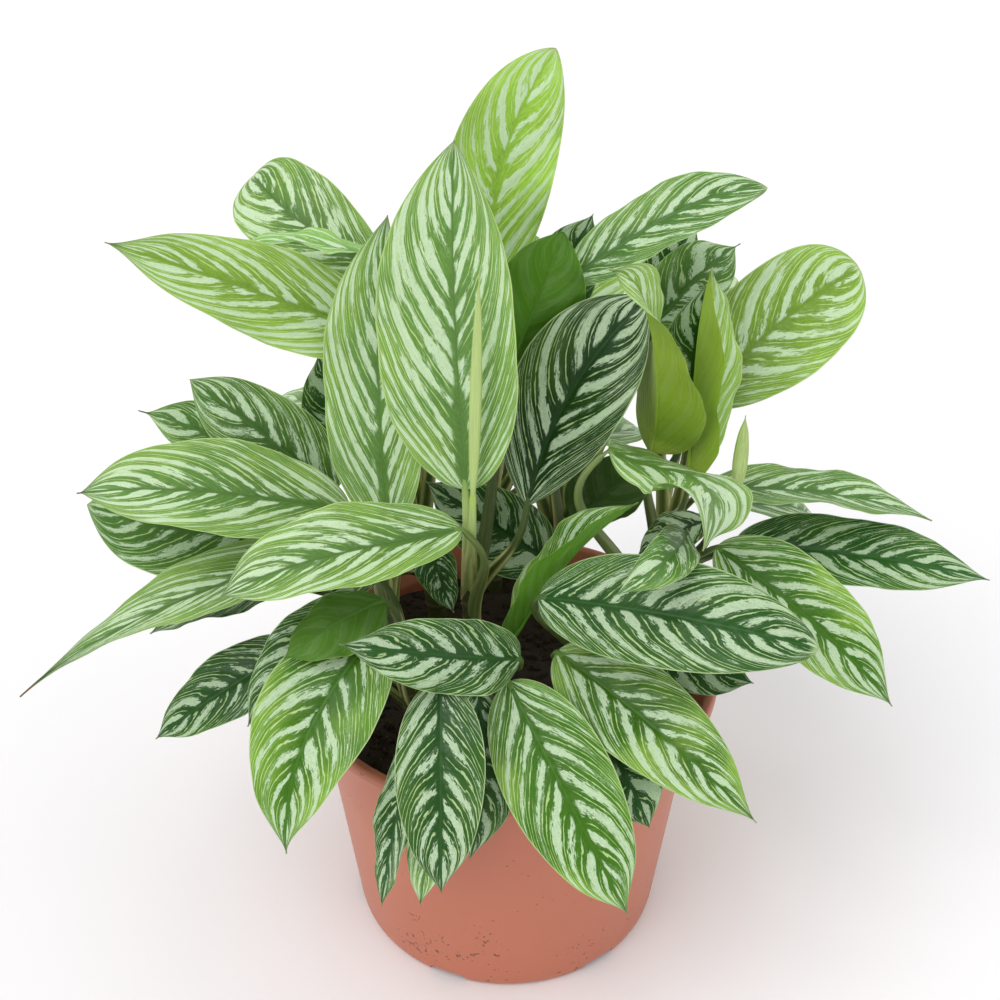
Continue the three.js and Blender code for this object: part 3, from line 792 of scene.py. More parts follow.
def stripes(net):
    """Where a leaf has silver bands, their halo, thin lines, its midrib, its rim and its veins."""
    across, along, seed = net.read("across"), net.read("along"), net.read("seed")
    soft = net.read("soft")
    aside = abs(across)
    half = across < 0
    swept = vein_start(net, along, aside)

    # Bands follow the side veins with some drift, and each has its own luck.
    drift = net.noise(net.vector(swept * 8 + seed * 7, aside * 1.6 + half * 5, seed), 1, 2)
    phase = swept * net.read("bands") + half * 0.4 + seed * 3 + drift * 0.8
    off = abs(phase.part() - 0.5)
    luck = net.chance(net.vector(phase - phase.part(), half, seed * 50))

    # Noise and cells drawn out along the veins make the edges jagged.
    streak = net.noise(net.vector(swept * 110, aside * 16 + half * 9, seed * 5), 1, 3, 0.7)
    tooth = net.cells(net.vector(swept * 90, aside * 13 + half * 4, seed * 8))
    blotch = net.noise(net.vector(swept * 14, aside * 3 + half * 7, seed * 9), 1, 2)

    # Silver keeps off the midrib, most near the base of a soft leaf, and narrows to the margin.
    bare = (1 - along.step(0.0, 0.4)) * soft * 0.16
    start = (aside + blotch * 0.2 - bare - luck * 0.05 + soft * 0.03).step(0.03, 0.08)
    room = luck * 0.17 + 0.085 + along.step(0.4, 1.0) * 0.05
    room = room - (aside - luck * 0.5 - 0.3).most(0) * (0.36 - soft * 0.2)
    edge = room + blotch * (soft * 0.8 + 0.35) - off + streak * 0.3 + tooth * 0.2
    margin = 1 - aside.step(0.94, 0.98)
    speck = net.noise(net.here(), 1300, 2).step(0.1, 0.2)
    band = edge.step(-0.02, 0.02) * start * margin * (1 - speck * 0.5)
    halo = (edge + 0.08 + streak * 0.3).step(-0.03, 0.07) * start * margin

    # Thin pale lines run between the bands, and beside them further out.
    line = (0.028 + tooth * 0.06 + streak * 0.05 - (0.5 - off)).step(-0.012, 0.012)
    outer = (0.018 + streak * 0.06 - abs(off - 0.26)).step(-0.012, 0.012)
    outer = outer * (aside + blotch).step(0.34, 0.5)
    second = (0.02 + streak * 0.1 - off).step(-0.012, 0.012) * soft
    line = line.most(second).most(outer) * (aside + blotch * 0.3).step(0.08, 0.2)

    rib = 1 - (aside * net.read("half")).step(0.0002, 0.0008)
    rim = aside.step(0.968, 0.99)
    veins = (swept * net.read("bands") * (2 * math.tau)).cosine()
    return band, halo, line, rib, rim, streak, veins


def leaf_upper(settings):
    """Striped upper face of the leaves."""
    net = Shader("leaf upper face", Roughness=0.4, Specular_IOR_Level=0.27)
    band, halo, line, rib, rim, streak, veins = stripes(net)
    ground = net.read("ground", "Color")
    silver = net.read("silver", "Color")
    soft = net.read("soft")
    cloud = net.noise(net.here(), 45, 3)
    aside = abs(net.read("across"))
    glow = (net.noise(net.here(), 24, 2) + aside * 0.28).step(0.08, 0.4)
    tone = net.blend(glow * net.read("glow"), ground, settings.lime)
    # Darker towards the midrib and the base: partly the leaf's own tone and partly painted shade in
    # the valley of the folded blade.
    deep = (1 - aside) ** 2 * (1 - net.read("along") * 0.6)
    tone = net.brighten(tone, 1.0 - deep * 0.34 + cloud * 0.3 + streak * 0.9)
    pale = net.blend(soft * 0.3 + 0.5, silver, settings.line)
    tone = net.blend(halo * (soft * 0.14 + 0.1), tone, silver)
    tone = net.blend(band * (0.9 + streak * 0.9), tone, silver)
    tone = net.blend(line * 0.8, tone, pale)
    tone = net.blend(rib * 0.8, tone, net.brighten(ground, 1.1 - soft * 0.45))
    tone = net.blend(rim * 0.65, tone, pale)
    tone = net.blend(net.read("along").step(0.965, 1.0) * 0.7, tone, pale)
    tone = net.blend(net.read("dry"), tone, tone_of("dry tip"))
    grain = net.noise(net.here(), 900, 2)
    rough = 0.37 + band * 0.1 + grain * 0.1
    return net.finish(tone, rough, veins * 0.5 + grain * 0.6, 0.00016)


def leaf_under(settings):
    """Plain back of the leaves, with its faint veins."""
    net = Shader("leaf back", Roughness=0.5, Specular_IOR_Level=0.2)
    band, halo, _, _, rim, streak, veins = stripes(net)
    back = net.read("back", "Color")
    cloud = net.noise(net.here(), 40, 3)
    tone = net.brighten(back, 1 + cloud * 0.5 + streak * 0.2)
    tone = net.blend(halo * 0.02 + band * 0.03, tone, settings.silver)
    tone = net.blend(veins.step(0.8, 1) * 0.05 + rim * 0.3, tone, settings.line)
    tone = net.blend(net.read("dry"), tone, tone_of("dry tip"))
    grain = net.noise(net.here(), 900, 2)
    return net.finish(tone, 0.48 + grain * 0.12, veins * 0.6 + grain * 0.6, 0.00014)


def stalk_skin(settings):
    """Smooth green of the stalks, with the pale dry edges of their sheaths."""
    net = Shader("leaf stalk", Roughness=0.4, IOR=1.45)
    along, turn = net.read("along"), net.read("across")
    streak = net.noise(net.vector(turn * 5, along * 6, net.read("seed") * 9), 1, 3)
    young = net.read("young") + 0.02 + streak * 0.3
    tone = net.blend(young, settings.old_stalk, settings.stalk)
    tone = net.blend(along.step(0.9, 1.1), tone, net.read("back", "Color"))
    tone = net.brighten(tone, 1.05 + streak * 0.5)

    # The sheath's edges are dry where it stands out by more than about half a millimetre.
    edge = (turn.sine().most(0) * abs(turn.cosine()) * 2) ** 6
    worn = edge * (net.read("sheath") * (1 / MM)).step(0.1, 0.8)
    tone = net.blend(worn * 0.95, tone, settings.sheath)
    return net.finish(tone, 0.42 + streak * 0.1, streak, 0.0002)


def cane_bark(settings):
    """Ringed skin of the bare canes."""
    net = Shader("cane bark", Roughness=0.6, IOR=1.45)
    along = net.read("along")
    cloud = net.noise(net.here(), 160, 4)
    ring = (along * (CANE_RINGS * math.tau) + cloud * 1.5).cosine().step(0.6, 1)
    tone = net.blend(0.5 + cloud, settings.cane, tone_of("old cane"))
    tone = net.blend(ring * 0.5, tone, tone_of("leaf scar"))
    return net.finish(tone, 0.6 + cloud * 0.2, ring + cloud, 0.0004)


def clay_skin(settings):
    """Satin moulded plastic in a clay colour, with scuffs and specks of dried soil."""
    net = Shader("clay coloured plastic", Roughness=0.42, IOR=1.47)
    where = net.here()
    cloud = net.noise(where, 14, 3)
    fine = net.noise(where, 1500, 2)

    # Scuffs run round the pot, and specks of soil gather in patches near the foot.
    x, y, z = net.split(where)
    scuff = net.noise(net.vector(x * 14, y * 14, z * 70), 1, 4, 0.7).step(0.16, 0.3)
    low = 1 - z.step(0.0, 0.09)
    splashed = net.vector_sum("ADD", where, SPLASH_SHIFT)
    patch = net.noise(splashed, 34, 2)
    speck = (net.noise(splashed, 380, 3) + patch * 0.5 + low * 0.08).step(0.245, 0.265)
    tone = net.blend(0.5 + cloud * 0.8, settings.clay, tone_of("clay shade"))
    tone = net.blend(scuff * 0.16, tone, tone_of("scuff"))
    tone = net.blend(speck * 0.75, tone, tone_of("dirt"))
    return net.finish(tone, 0.42 + scuff * 0.12 + cloud * 0.08, fine + speck * 2, 0.00006)


def soil_skin(settings):
    """Dark potting soil, with paler fibres and grains."""
    net = Shader("potting soil", Roughness=0.95)
    where = net.here()
    lumps = net.noise(where, 260, 5, 0.65)
    pale = net.noise(where, 700, 3).step(0.17, 0.24)
    # The soil is darker where its bump is low, in the hollows between the lumps.
    tone = net.blend(0.5 + lumps * 1.6, tone_of("hollow soil"), settings.soil)
    tone = net.blend(pale * 0.7, tone, tone_of("fibre"))
    return net.finish(tone, None, lumps, 0.0015)


def stem_tree():
    """Grows blades, stalks and canes from their lines, each point of which holds its own frame."""
    net = Geometry(
        "leafy stem", Strips="Int", Thickness="Float", Wave="Float",
        Groove="Float", Quilt="Float", Upper="Material", Under="Material", Stalk="Material",
        Cane="Material",
    )

    def lines(kind):
        """The lines of one kind, as curves."""
        wanted = net.add("FunctionNodeCompare", data_type="FLOAT", operation="EQUAL")
        net.feed(wanted.inputs["A"], net.read("kind"))
        wanted.inputs["B"].default_value = kind
        wanted.inputs["Epsilon"].default_value = 0.1
        kept = net.run(
            "GeometryNodeSeparateGeometry", settings={"domain": "POINT"},
            Geometry=net.given("Geometry"), Selection=Wire(net, wanted.outputs[0]),
        )
        return net.run("GeometryNodeMeshToCurve", Mesh=kept)

    def moved(geometry, sideways, upwards):
        """Puts each point at its station's centre, plus so much sideways and upwards."""
        place = net.vector_sum(
            "ADD",
            net.read("centre", "FLOAT_VECTOR"),
            net.vector_sum(
                "ADD",
                net.vector_sum("SCALE", net.read("side", "FLOAT_VECTOR"), sideways),
                net.vector_sum("SCALE", net.read("rise", "FLOAT_VECTOR"), upwards),
            ),
        )
        return net.run("GeometryNodeSetPosition", Geometry=geometry, Position=place)

    def dressed(geometry, material):
        smooth = net.run("GeometryNodeSetShadeSmooth", Geometry=geometry)
        return net.run("GeometryNodeSetMaterial", Geometry=smooth, Material=net.given(material))

    strip = net.add("GeometryNodeMeshLine", mode="END_POINTS")
    net.feed(strip.inputs["Count"], net.given("Strips") + 1)
    strip.inputs["Start Location"].default_value = (-1, 0, 0)
    strip.inputs["Offset"].default_value = (1, 0, 0)

    # Strips are narrower near the midrib, where the blade bends most.
    line = net.split(net.run("GeometryNodeInputPosition"))[0]
    eased = line * abs(line) ** 0.35
    profile = net.keep(Wire(net, strip.outputs[0]), "across", eased)
    profile = net.run("GeometryNodeMeshToCurve", Mesh=profile)
    sheet = net.run("GeometryNodeCurveToMesh", Curve=lines(BLADE), Profile_Curve=profile)

    across, along, half = net.read("across"), net.read("along"), net.read("half")
    fold, seed = net.read("fold"), net.read("seed")
    aside = abs(across)
    behind = 1 - (across < 0) * 2
    swell = (along * math.pi).sine()

    # The margin waves slowly, with a finer frill, and the blade swells between its side veins.
    ripple = (along * (math.tau * 2.2) + behind * 1.3).sine() * swell * aside**2
    frill = (along * 44 + behind * 2 + seed * 20).sine() * swell * aside**5 * 0.22
    swept = vein_start(net, along, aside)
    pillow = (swept * net.read("bands") * math.tau).cosine() * aside * (1 - aside) * 4 * swell

    # The midrib lies in a soft groove.
    dip = net.sum("EXPONENT", 0 - (aside * half / GROOVE_WIDTH) ** 2) * swell
    height = aside**1.25 * half * fold.sine()
    ruffle = net.given("Wave") * net.read("ruffle")
    height = height + ruffle * (ripple + frill) + net.given("Quilt") * pillow
    height = height - net.given("Groove") * dip
    sideways = across * half * fold.cosine()
    rind = net.given("Thickness") * net.read("thick") * (1 - aside**10) ** 0.5 * 0.5
    top = dressed(moved(sheet, sideways, height + rind), "Upper")
    flipped = net.run("GeometryNodeFlipFaces", Mesh=sheet)
    under = dressed(moved(flipped, sideways, height - rind), "Under")
    blades = net.run(
        "GeometryNodeMergeByDistance", Geometry=net.join(top, under), Distance=0.000002
    )
    margin = net.sum("GREATER_THAN", net.sum("ABSOLUTE", net.read("across")), 0.995)
    blades = net.run(
        "GeometryNodeSetShadeSmooth", settings={"domain": "EDGE"}, Geometry=blades,
        Selection=margin, Shade_Smooth=False,
    )

    def tubes(kind, sides, material):
        """Round lines with a channel along the top and a sheath's wings beside it."""
        ring = net.run(
            "GeometryNodeMeshCircle", settings={"fill_type": "NONE"}, Vertices=sides, Radius=1.0
        )
        x, y, _ = net.split(net.run("GeometryNodeInputPosition"))
        ring = net.keep(ring, "across", net.sum("ARCTAN2", y, x))
        ring = net.run("GeometryNodeMeshToCurve", Mesh=ring)
        tube = net.run(
            "GeometryNodeCurveToMesh", Curve=lines(kind), Profile_Curve=ring, Fill_Caps=True
        )
        turn = net.read("across")
        up = turn.sine().most(0)
        reach = net.read("half") * (1 - net.read("channel") * up**4)
        wing = net.read("sheath") * up * abs(turn.cosine()) * 2
        outward = reach + wing
        return dressed(
            moved(tube, outward * turn.cosine(), outward * turn.sine()), material
        )

    stalks = tubes(STALK, STALK_SIDES, "Stalk")
    canes = tubes(CANE, CANE_SIDES, "Cane")
    whole = net.run("GeometryNodeRealizeInstances", Geometry=net.join(blades, stalks, canes))
    return net.finish(whole)


def bezier(ends, share):
    """Place and direction on a curve of four points."""
    start, first, second, end = ends
    rest = 1 - share
    place = (
        start * rest**3 + first * (3 * rest**2 * share) + second * (3 * rest * share**2)
        + end * share**3
    )
    way = (first - start) * rest**2 + (second - first) * (2 * rest * share)
    way = way + (end - second) * share**2
    return place, way.normalized()


def squared(side, way):
    """The side direction made square to the way."""
    return (side - way * side.dot(way)).normalized()


def midrib_of(row):
    """The midrib's curve and the leaf's side direction at its middle."""
    base, tip, face = Vector(row.base), Vector(row.tip), Vector(row.face)
    chord = tip - base
    span = chord.length
    chord.normalize()
    rise = squared(face, chord)
    side = chord.cross(rise)
    near, far = row.arch
    bow = side * (span * row.bow)
    first = base + chord * (span / 3) + rise * (span * near) + bow
    second = base + chord * (span * (2 / 3 + row.reach)) + rise * (span * far) + bow
    return (base, first, second, tip), side, span


def half_width(row, share):
    """Half the leaf's width at a share of its length, with a thin dry tail if it has one."""
    near, far = row.base_power, row.tip_power
    share /= 1 - row.tail
    middle = near / (near + far)
    if share <= 0 or share >= 1:
        return END_HALF
    drawn = max(share - DRIP_FROM, 0) / (1 - DRIP_FROM)
    far += row.drip * drawn**2
    shape = (share / middle) ** near * ((1 - share) / (1 - middle)) ** far
    return max(row.width / 2 * shape, TIP_HALF * (1 - share) ** 2 + END_HALF)


def station(row, curve, side, share):
    """Centre, side and rise of a leaf at a share of its length."""
    place, way = bezier(curve, share)
    flat = squared(side, way)
    raised = flat.cross(way)
    power = row.twist_power
    angle = math.radians(row.twist) * (share**power if power else share - 0.5)
    turned = flat * math.cos(angle) + raised * math.sin(angle)
    return place, way, turned, turned.cross(way)


def cane_axis(stem, height):
    """Centre of a cane at a height."""
    over = max(height - CANE_STRAIGHT_TO, 0) / 100
    return Vector((
        stem.foot[0] + stem.lean[0] * over,
        stem.foot[1] + stem.lean[1] * over,
        height,
    ))


class Lines:
    """Points with their frames and finishes, which become a mesh of loose edges."""

    numbers = (
        "kind", "along", "half", "fold", "seed", "bands", "thick", "channel", "sheath", "soft",
        "glow", "ruffle", "dry", "young", "sweep",
    )
    ways = ("centre", "side", "rise")
    colours = ("ground", "silver", "back")

    def __init__(self):
        self.points = []
        self.edges = []

    def add(self, stations, **shared):
        """Adds one line of stations, each a dict of values."""
        first = len(self.points)
        for one in stations:
            point = dict.fromkeys(self.numbers, 0.0)
            point.update(shared)
            point.update(one)
            self.points.append(point)
        self.edges += [(i, i + 1) for i in range(first, len(self.points) - 1)]

    def mesh(self, name):
        mesh = bpy.data.meshes.new(name)
        mesh.from_pydata([p["centre"] for p in self.points], self.edges, [])

        def store(keys, kind, part, parts):
            for key in keys:
                values = [x for point in self.points for x in parts(point[key])]
                mesh.attributes.new(key, kind, "POINT").data.foreach_set(part, values)

        store(self.numbers, "FLOAT", "value", lambda number: (number,))
        store(self.ways, "FLOAT_VECTOR", "vector", tuple)
        store(self.colours, "FLOAT_COLOR", "color", lambda tone: (*tone, 1))
        return mesh


def mixed(first, second, share):
    """A colour between two."""
    return tuple(a + (b - a) * share for a, b in zip(first, second))


def finish_of(row, settings, number):
    """A leaf's ground, silver and back colours, and the numbers that its stripes go by."""
    look = LOOKS[row.look]
    # The ground is scaled by deep: the leaf's own tone, with painted shade on leaves in shadow and
    # painted light on brightly lit ones. The back takes only the painted shade.
    ground = tuple(x * row.deep for x in getattr(settings, row.look))
    back = tuple(x * min(row.deep, 1) for x in srgb(*look.back))
    return {
        "ground": ground,
        "silver": mixed(settings.silver, ground, look.pale),
        "back": mixed(back, settings.underside, BACK_EVENNESS),
        "soft": look.soft,
        "glow": look.glow,
        "young": look.soft * SOFT_TO_YOUNG if row.young is None else row.young,
        "ruffle": row.ruffle,
        "sweep": row.sweep,
        "seed": (number * SEED_STEP) % 1,
    }


def smooth(value, low, high):
    """From 0 at low to 1 at high."""
    share = min(max((value - low) / (high - low), 0), 1)
    return share * share * (3 - 2 * share)


def add_roll(lines, row, blade, shared):
    """Adds a young leaf that is still rolled up, as a slender spear with a seam."""
    narrow = math.cos(math.radians(row.fold)) * 0.95
    spear = []
    for one in blade:
        spear.append(dict(one, half=max(one["half"] * narrow, 0.0003), channel=0.35))
    lines.add(spear, kind=STALK, **shared)


def add_leaf(lines, stem, row, settings, number):
    """Adds a leaf's midrib, its stalk and the keel under the blade."""
    curve, side, span = midrib_of(row)
    shared = finish_of(row, settings, number)
    shared["bands"] = max(span * MM / settings.band_spacing, 3)
    count = settings.stations
    blade = []
    for i in range(count + 1):
        share = (1 - math.cos(math.pi * (i / count) ** STATION_POWER)) / 2
        place, _, flat, rise = station(row, curve, side, share)
        blade.append({
            "centre": place * MM, "side": flat, "rise": rise, "along": share,
            "half": half_width(row, share) * MM, "thick": 0 if i in (0, count) else 1,
            "dry": smooth(share, 0.985 - row.tail, 1.0 - row.tail * 0.6) * bool(row.tail),
        })
    if row.rolled:
        add_roll(lines, row, blade, shared)
    else:
        lines.add(blade, kind=BLADE, fold=math.radians(row.fold), **shared)

    root = cane_axis(stem, row.at)
    base = curve[0]
    _, way = bezier(curve, 0)
    reach = base - root
    outward = Vector((reach.x, reach.y, 0))
    if outward.length > 1e-6:
        outward.normalize()
    start = (UP + outward * STALK_LEAN).normalized()
    finish = (way * STALK_END[0] + UP * STALK_END[1]).normalized()
    near, far = (reach.length * share for share in STALK_RUN)
    path = (root, root + start * near, base - finish * far, base)
    stalk = []
    for i in range(STALK_STEPS):
        share = i / STALK_STEPS
        place, along = bezier(path, share)
        flat = squared(side, along)
        stalk.append({
            "centre": place * MM, "side": flat, "rise": flat.cross(along), "along": share,
            "half": (STALK_RADIUS - STALK_TAPER * share) * MM,
            "channel": 0.35 + 0.3 * smooth(share, 0.8, 0.5),
            "sheath": SHEATH_WING * MM * max(0, 1 - share / SHEATH_LENGTH),
        })

    # The keel thins over its first three steps and goes under the blade over the first two.
    for i in range(KEEL_STEPS + 1):
        share = KEEL_LENGTH * (i / KEEL_STEPS) ** 1.3
        place, _, flat, rise = station(row, curve, side, share)
        thick = (KEEL_RADIUS - 0.8 * min(i / 3, 1)) * (1 - share) ** 0.6 + 0.12
        sink = min(i / 2, 1)
        stalk.append({
            "centre": (place - rise * (sink * (thick * 0.55 + 0.35))) * MM, "side": flat,
            "rise": rise, "along": 1 + share, "half": thick * MM,
            "channel": 0.3 + 0.5 * sink,
        })
    lines.add(stalk, kind=STALK, **shared)


def add_cane(lines, stem, settings, number):
    """Adds a ringed cane with a rounded end."""
    cane = []
    top = stem.top
    for i in range(CANE_STEPS + 1):
        height = CANE_FOOT + (top - CANE_FOOT) * i / CANE_STEPS
        climbed = (height - CANE_FOOT) / (top - CANE_FOOT)

        # It tapers by a fifth, swells at the scars, wavers a little and closes at the end.
        radius = stem.radius * (1 - 0.2 * climbed)
        scar = 0.25 * max(0, math.cos(climbed * math.tau * CANE_RINGS)) ** 4
        radius *= 0.97 + 0.03 * math.cos(climbed * 20 + number)
        close = min((1 - climbed) / 0.05, 1)
        radius = (radius + scar) * (0.3 + 0.7 * math.sqrt(max(close, 0)))
        cane.append({
            "centre": cane_axis(stem, height) * MM, "side": Vector((1, 0, 0)),
            "rise": Vector((0, 1, 0)), "along": climbed, "half": radius * MM,
        })
    green = tuple(settings.cane)
    lines.add(cane, kind=CANE, ground=green, silver=green, back=green, seed=number * 0.37 % 1)


class EVERGREEN_OT_stems(bpy.types.Operator):
    """Grow the ten leafy stems, with their canes, stalks and striped leaves."""

    bl_idname = "evergreen.stems"
    bl_label = "Grow the stems"

    def execute(self, context):
        settings = context.scene.evergreen_leaves
        tree = stem_tree()
        finishes = {
            "Upper": leaf_upper(settings), "Under": leaf_under(settings),
            "Stalk": stalk_skin(settings), "Cane": cane_bark(settings),
        }
        number = 0
        for order, (name, stem) in enumerate(STEMS.items()):
            lines = Lines()
            add_cane(lines, stem, settings, order)
            for row in stem.leaves.values():
                number += 1
                add_leaf(lines, stem, row, settings, number)
            mesh = grown(
                lines.mesh(f"{name} lines"), name, tree, Strips=settings.strips,
                Thickness=settings.thickness, Wave=settings.wave, Groove=settings.groove,
                Quilt=settings.quilt, **finishes,
            )
            if len(mesh.polygons) < 100:
                raise RuntimeError(f"{name} grew no leaves")
            placed(f"leafy_{name}", mesh, "foliage", name)
        return {"FINISHED"}


def skinned(points, rings, name):
    """A closed mesh over rings of points, the first and last of which are single points."""
    faces = []
    for low, high in zip(rings, rings[1:]):
        sides = max(len(low), len(high))
        for k in range(sides):
            n = (k + 1) % sides
            if len(low) == 1:
                faces.append((low[0], high[n], high[k]))
            elif len(high) == 1:
                faces.append((low[k], low[n], high[0]))
            else:
                faces.append((low[k], low[n], high[n], high[k]))
    mesh = bpy.data.meshes.new(name)
    mesh.from_pydata(points, [], faces)
    return mesh


def ringed(radius, sides):
    """Places round the upright axis."""
    turns = (math.tau * k / sides for k in range(sides))
    return [(radius * math.cos(turn), radius * math.sin(turn)) for turn in turns]


def lathed(profile, sides, name):
    """A closed mesh turned about the upright axis from a profile that starts and ends on it."""
    points, rings = [], []
    for radius, height in profile:
        ring = ringed(radius, sides if radius > 1e-9 else 1)
        rings.append(range(len(points), len(points) + len(ring)))
        points += [(x, y, height) for x, y in ring]
    return skinned(points, rings, name)


def rounded(profile, radius, steps=5):
    """The profile with its inner corners rounded."""
    result = [profile[0]]
    for before, corner, after in zip(profile, profile[1:], profile[2:]):
        a, b, c = (Vector(p) for p in (before, corner, after))
        reach = min(radius, (a - b).length * 0.45, (c - b).length * 0.45)
        start, end = b + (a - b).normalized() * reach, b + (c - b).normalized() * reach
        for i in range(steps + 1):
            share = i / steps
            point = start * (1 - share) ** 2 + b * (2 * share * (1 - share)) + end * share**2
            result.append(tuple(point))
    result.append(profile[-1])
    return result


class EVERGREEN_OT_pot(bpy.types.Operator):
    """Turn the pot with its rolled lip, and cut the drain slots in its foot."""

    bl_idname = "evergreen.pot"
    bl_label = "Turn the pot"

    def execute(self, context):
        sizes = context.scene.evergreen_pot
        foot, neck, rim, top = sizes.foot, sizes.neck, sizes.rim, sizes.height
        # From the middle of the underside out, up the wall, over the lip and down the inside.
        profile = [
            (0, 0.0012), (foot - 0.012, 0.0012), (foot - 0.010, 0), (foot, 0),
            (foot + 0.005, 0.002), (foot + 0.0065, 0.007), (neck, top - 0.015),
            (neck + 0.003, top - 0.009), (rim, top - 0.008), (rim, top - 0.0025),
            (rim - 0.0015, top), (rim - 0.005, top), (rim - 0.007, top - 0.003),
            (neck - sizes.wall, top - 0.015), (foot + 0.004, 0.008), (foot, 0.005), (0, 0.005),
        ]
        mesh = lathed(rounded(profile, 0.0018), sizes.sides, "pot")
        pot = bpy.data.objects.new("clay_pot", mesh)
        context.scene.collection.objects.link(pot)

        points, faces = [], []
        ends = list(range(len(SLOT)))
        for k in range(SLOTS):
            turn = math.radians(FIRST_SLOT_TURN + 360 / SLOTS * k)
            out = Vector((math.cos(turn), math.sin(turn), 0))
            beside = UP.cross(out)
            near = len(points)
            far = near + len(SLOT)
            for reach in SLOT_REACH:
                for x, z in SLOT:
                    points.append(out * (foot + reach) + beside * (x * MM) + UP * (z * MM))
            faces.append([near + i for i in reversed(ends)])
            faces.append([far + i for i in ends])
            for i, j in zip(ends, ends[1:] + ends[:1]):
                faces.append([near + i, near + j, far + j, far + i])

        cutter_mesh = bpy.data.meshes.new("slots")
        cutter_mesh.from_pydata(points, [], faces)
        cutter = bpy.data.objects.new("slots", cutter_mesh)
        context.scene.collection.objects.link(cutter)
        cut = pot.modifiers.new("Slots", "BOOLEAN")
        cut.object, cut.solver, cut.operation = cutter, "EXACT", "DIFFERENCE"
        context.view_layer.update()
        seen = pot.evaluated_get(context.evaluated_depsgraph_get())
        finished = bpy.data.meshes.new_from_object(seen)
        bpy.data.objects.remove(pot)
        bpy.data.objects.remove(cutter)
        if len(finished.polygons) < 1000:
            raise RuntimeError("the pot was cut away")
        finished.shade_smooth()
        finished.set_sharp_from_angle(angle=math.radians(40))
        finished.materials.clear()
        finished.materials.append(clay_skin(sizes))
        placed("clay_pot", finished, "pot", "pot")
        return {"FINISHED"}


def soil_height(x, y):
    """Height of the soil over its level, in millimetres, at a place in millimetres."""
    slow = math.sin(x / 22 + 0.6) * math.cos(y / 18) + 0.5 * math.sin((x + y) / 11)
    lump = noise.noise(Vector((x / 9, y / 9, 3))) + 0.6 * noise.noise(Vector((x / 4, y / 4, 8)))
    return SOIL_SWELL * slow / 1.5 + SOIL_LUMP * lump


def crumb_tree():
    """Scatters crumbs of soil over the faces that look up."""
    net = Geometry(
        "soil crumbs", Count="Float", Size="Float", Seed="Int", Soil="Material",
    )
    upward = net.sum("GREATER_THAN", net.split(net.run("GeometryNodeInputNormal"))[2], 0.5)
    points = net.run(
        "GeometryNodeDistributePointsOnFaces", Mesh=net.given("Geometry"),
        Density=net.given("Count") / (math.pi * CRUMB_RADIUS**2), Seed=net.given("Seed"),
        Selection=upward,
    )
    lump = net.run("GeometryNodeMeshIcoSphere", Radius=1.0, Subdivisions=2)
    rough = net.add("ShaderNodeTexNoise")
    rough.inputs["Scale"].default_value = 1.3
    shift = net.vector_sum(
        "SCALE", net.run("GeometryNodeInputPosition"), (Wire(net, rough.outputs[0]) - 0.5) * 1.6
    )
    lump = net.run("GeometryNodeSetPosition", Geometry=lump, Offset=shift)

    def chance(kind, low, high, seed, output):
        node = net.add("FunctionNodeRandomValue", data_type=kind)
        first = {"FLOAT_VECTOR": 0, "FLOAT": 2}[kind]
        node.inputs[first].default_value = low
        node.inputs[first + 1].default_value = high
        node.inputs["Seed"].default_value = seed
        return Wire(net, node.outputs[output])

    size = chance("FLOAT", 0.35, 1.0, 3, 1) ** 2 * 1.7 * net.given("Size")
    stretch = chance("FLOAT_VECTOR", (0.7, 0.7, 0.5), (1.4, 1.2, 0.9), 5, 0)
    turn = chance("FLOAT_VECTOR", (0, 0, 0), (6.3, 6.3, 6.3), 7, 0)
    scattered = net.run(
        "GeometryNodeInstanceOnPoints", Points=points, Instance=lump,
        Scale=net.vector_sum("SCALE", stretch, size),
    )
    scattered = net.run("GeometryNodeRotateInstances", Instances=scattered, Rotation=turn)
    whole = net.join(scattered, net.given("Geometry"))
    whole = net.run("GeometryNodeRealizeInstances", Geometry=whole)
    whole = net.run("GeometryNodeSetShadeSmooth", Geometry=whole)
    return net.finish(
        net.run("GeometryNodeSetMaterial", Geometry=whole, Material=net.given("Soil"))
    )


class EVERGREEN_OT_soil(bpy.types.Operator):
    """Fill the pot with lumpy soil and scatter crumbs on it."""

    bl_idname = "evergreen.soil"
    bl_label = "Fill with soil"

    def execute(self, context):
        sizes = context.scene.evergreen_pot
        level = sizes.soil_level / MM
        foot = sizes.foot / MM + 4

        def wall(height):
            """Radius of the soil at a height, inside the tapered wall."""
            climbed = (height - WALL_FROM) / (WALL_TO - WALL_FROM)
            return foot + (WALL_INSIDE - foot) * climbed - SOIL_ROOM

        floor = SOIL_FLOOR / MM
        points, rings = [(0, 0, floor)], [[0]]
        profile = [(40, floor), (foot - 4.5, floor)]
        profile += [(wall(height), height) for height in SOIL_HEIGHTS]
        edge = profile[-1][0]
        profile += [(edge * (1 - i / SOIL_RINGS), None) for i in range(SOIL_RINGS)]
        for radius, height in profile:
            ring = ringed(radius, SOIL_SIDES)
            rings.append(range(len(points), len(points) + SOIL_SIDES))
            for x, y in ring:
                points.append((x, y, level + soil_height(x, y) if height is None else height))
        rings.append([len(points)])
        points.append((0, 0, level + soil_height(0, 0)))
        mesh = skinned([tuple(x * MM for x in p) for p in points], rings, "soil bed")
        mesh = grown(
            mesh, "soil_bed", crumb_tree(), Count=float(sizes.crumbs), Size=sizes.crumb_size,
            Seed=11, Soil=soil_skin(sizes),
        )
        placed("soil_bed", mesh, "soil", "soil")
        return {"FINISHED"}


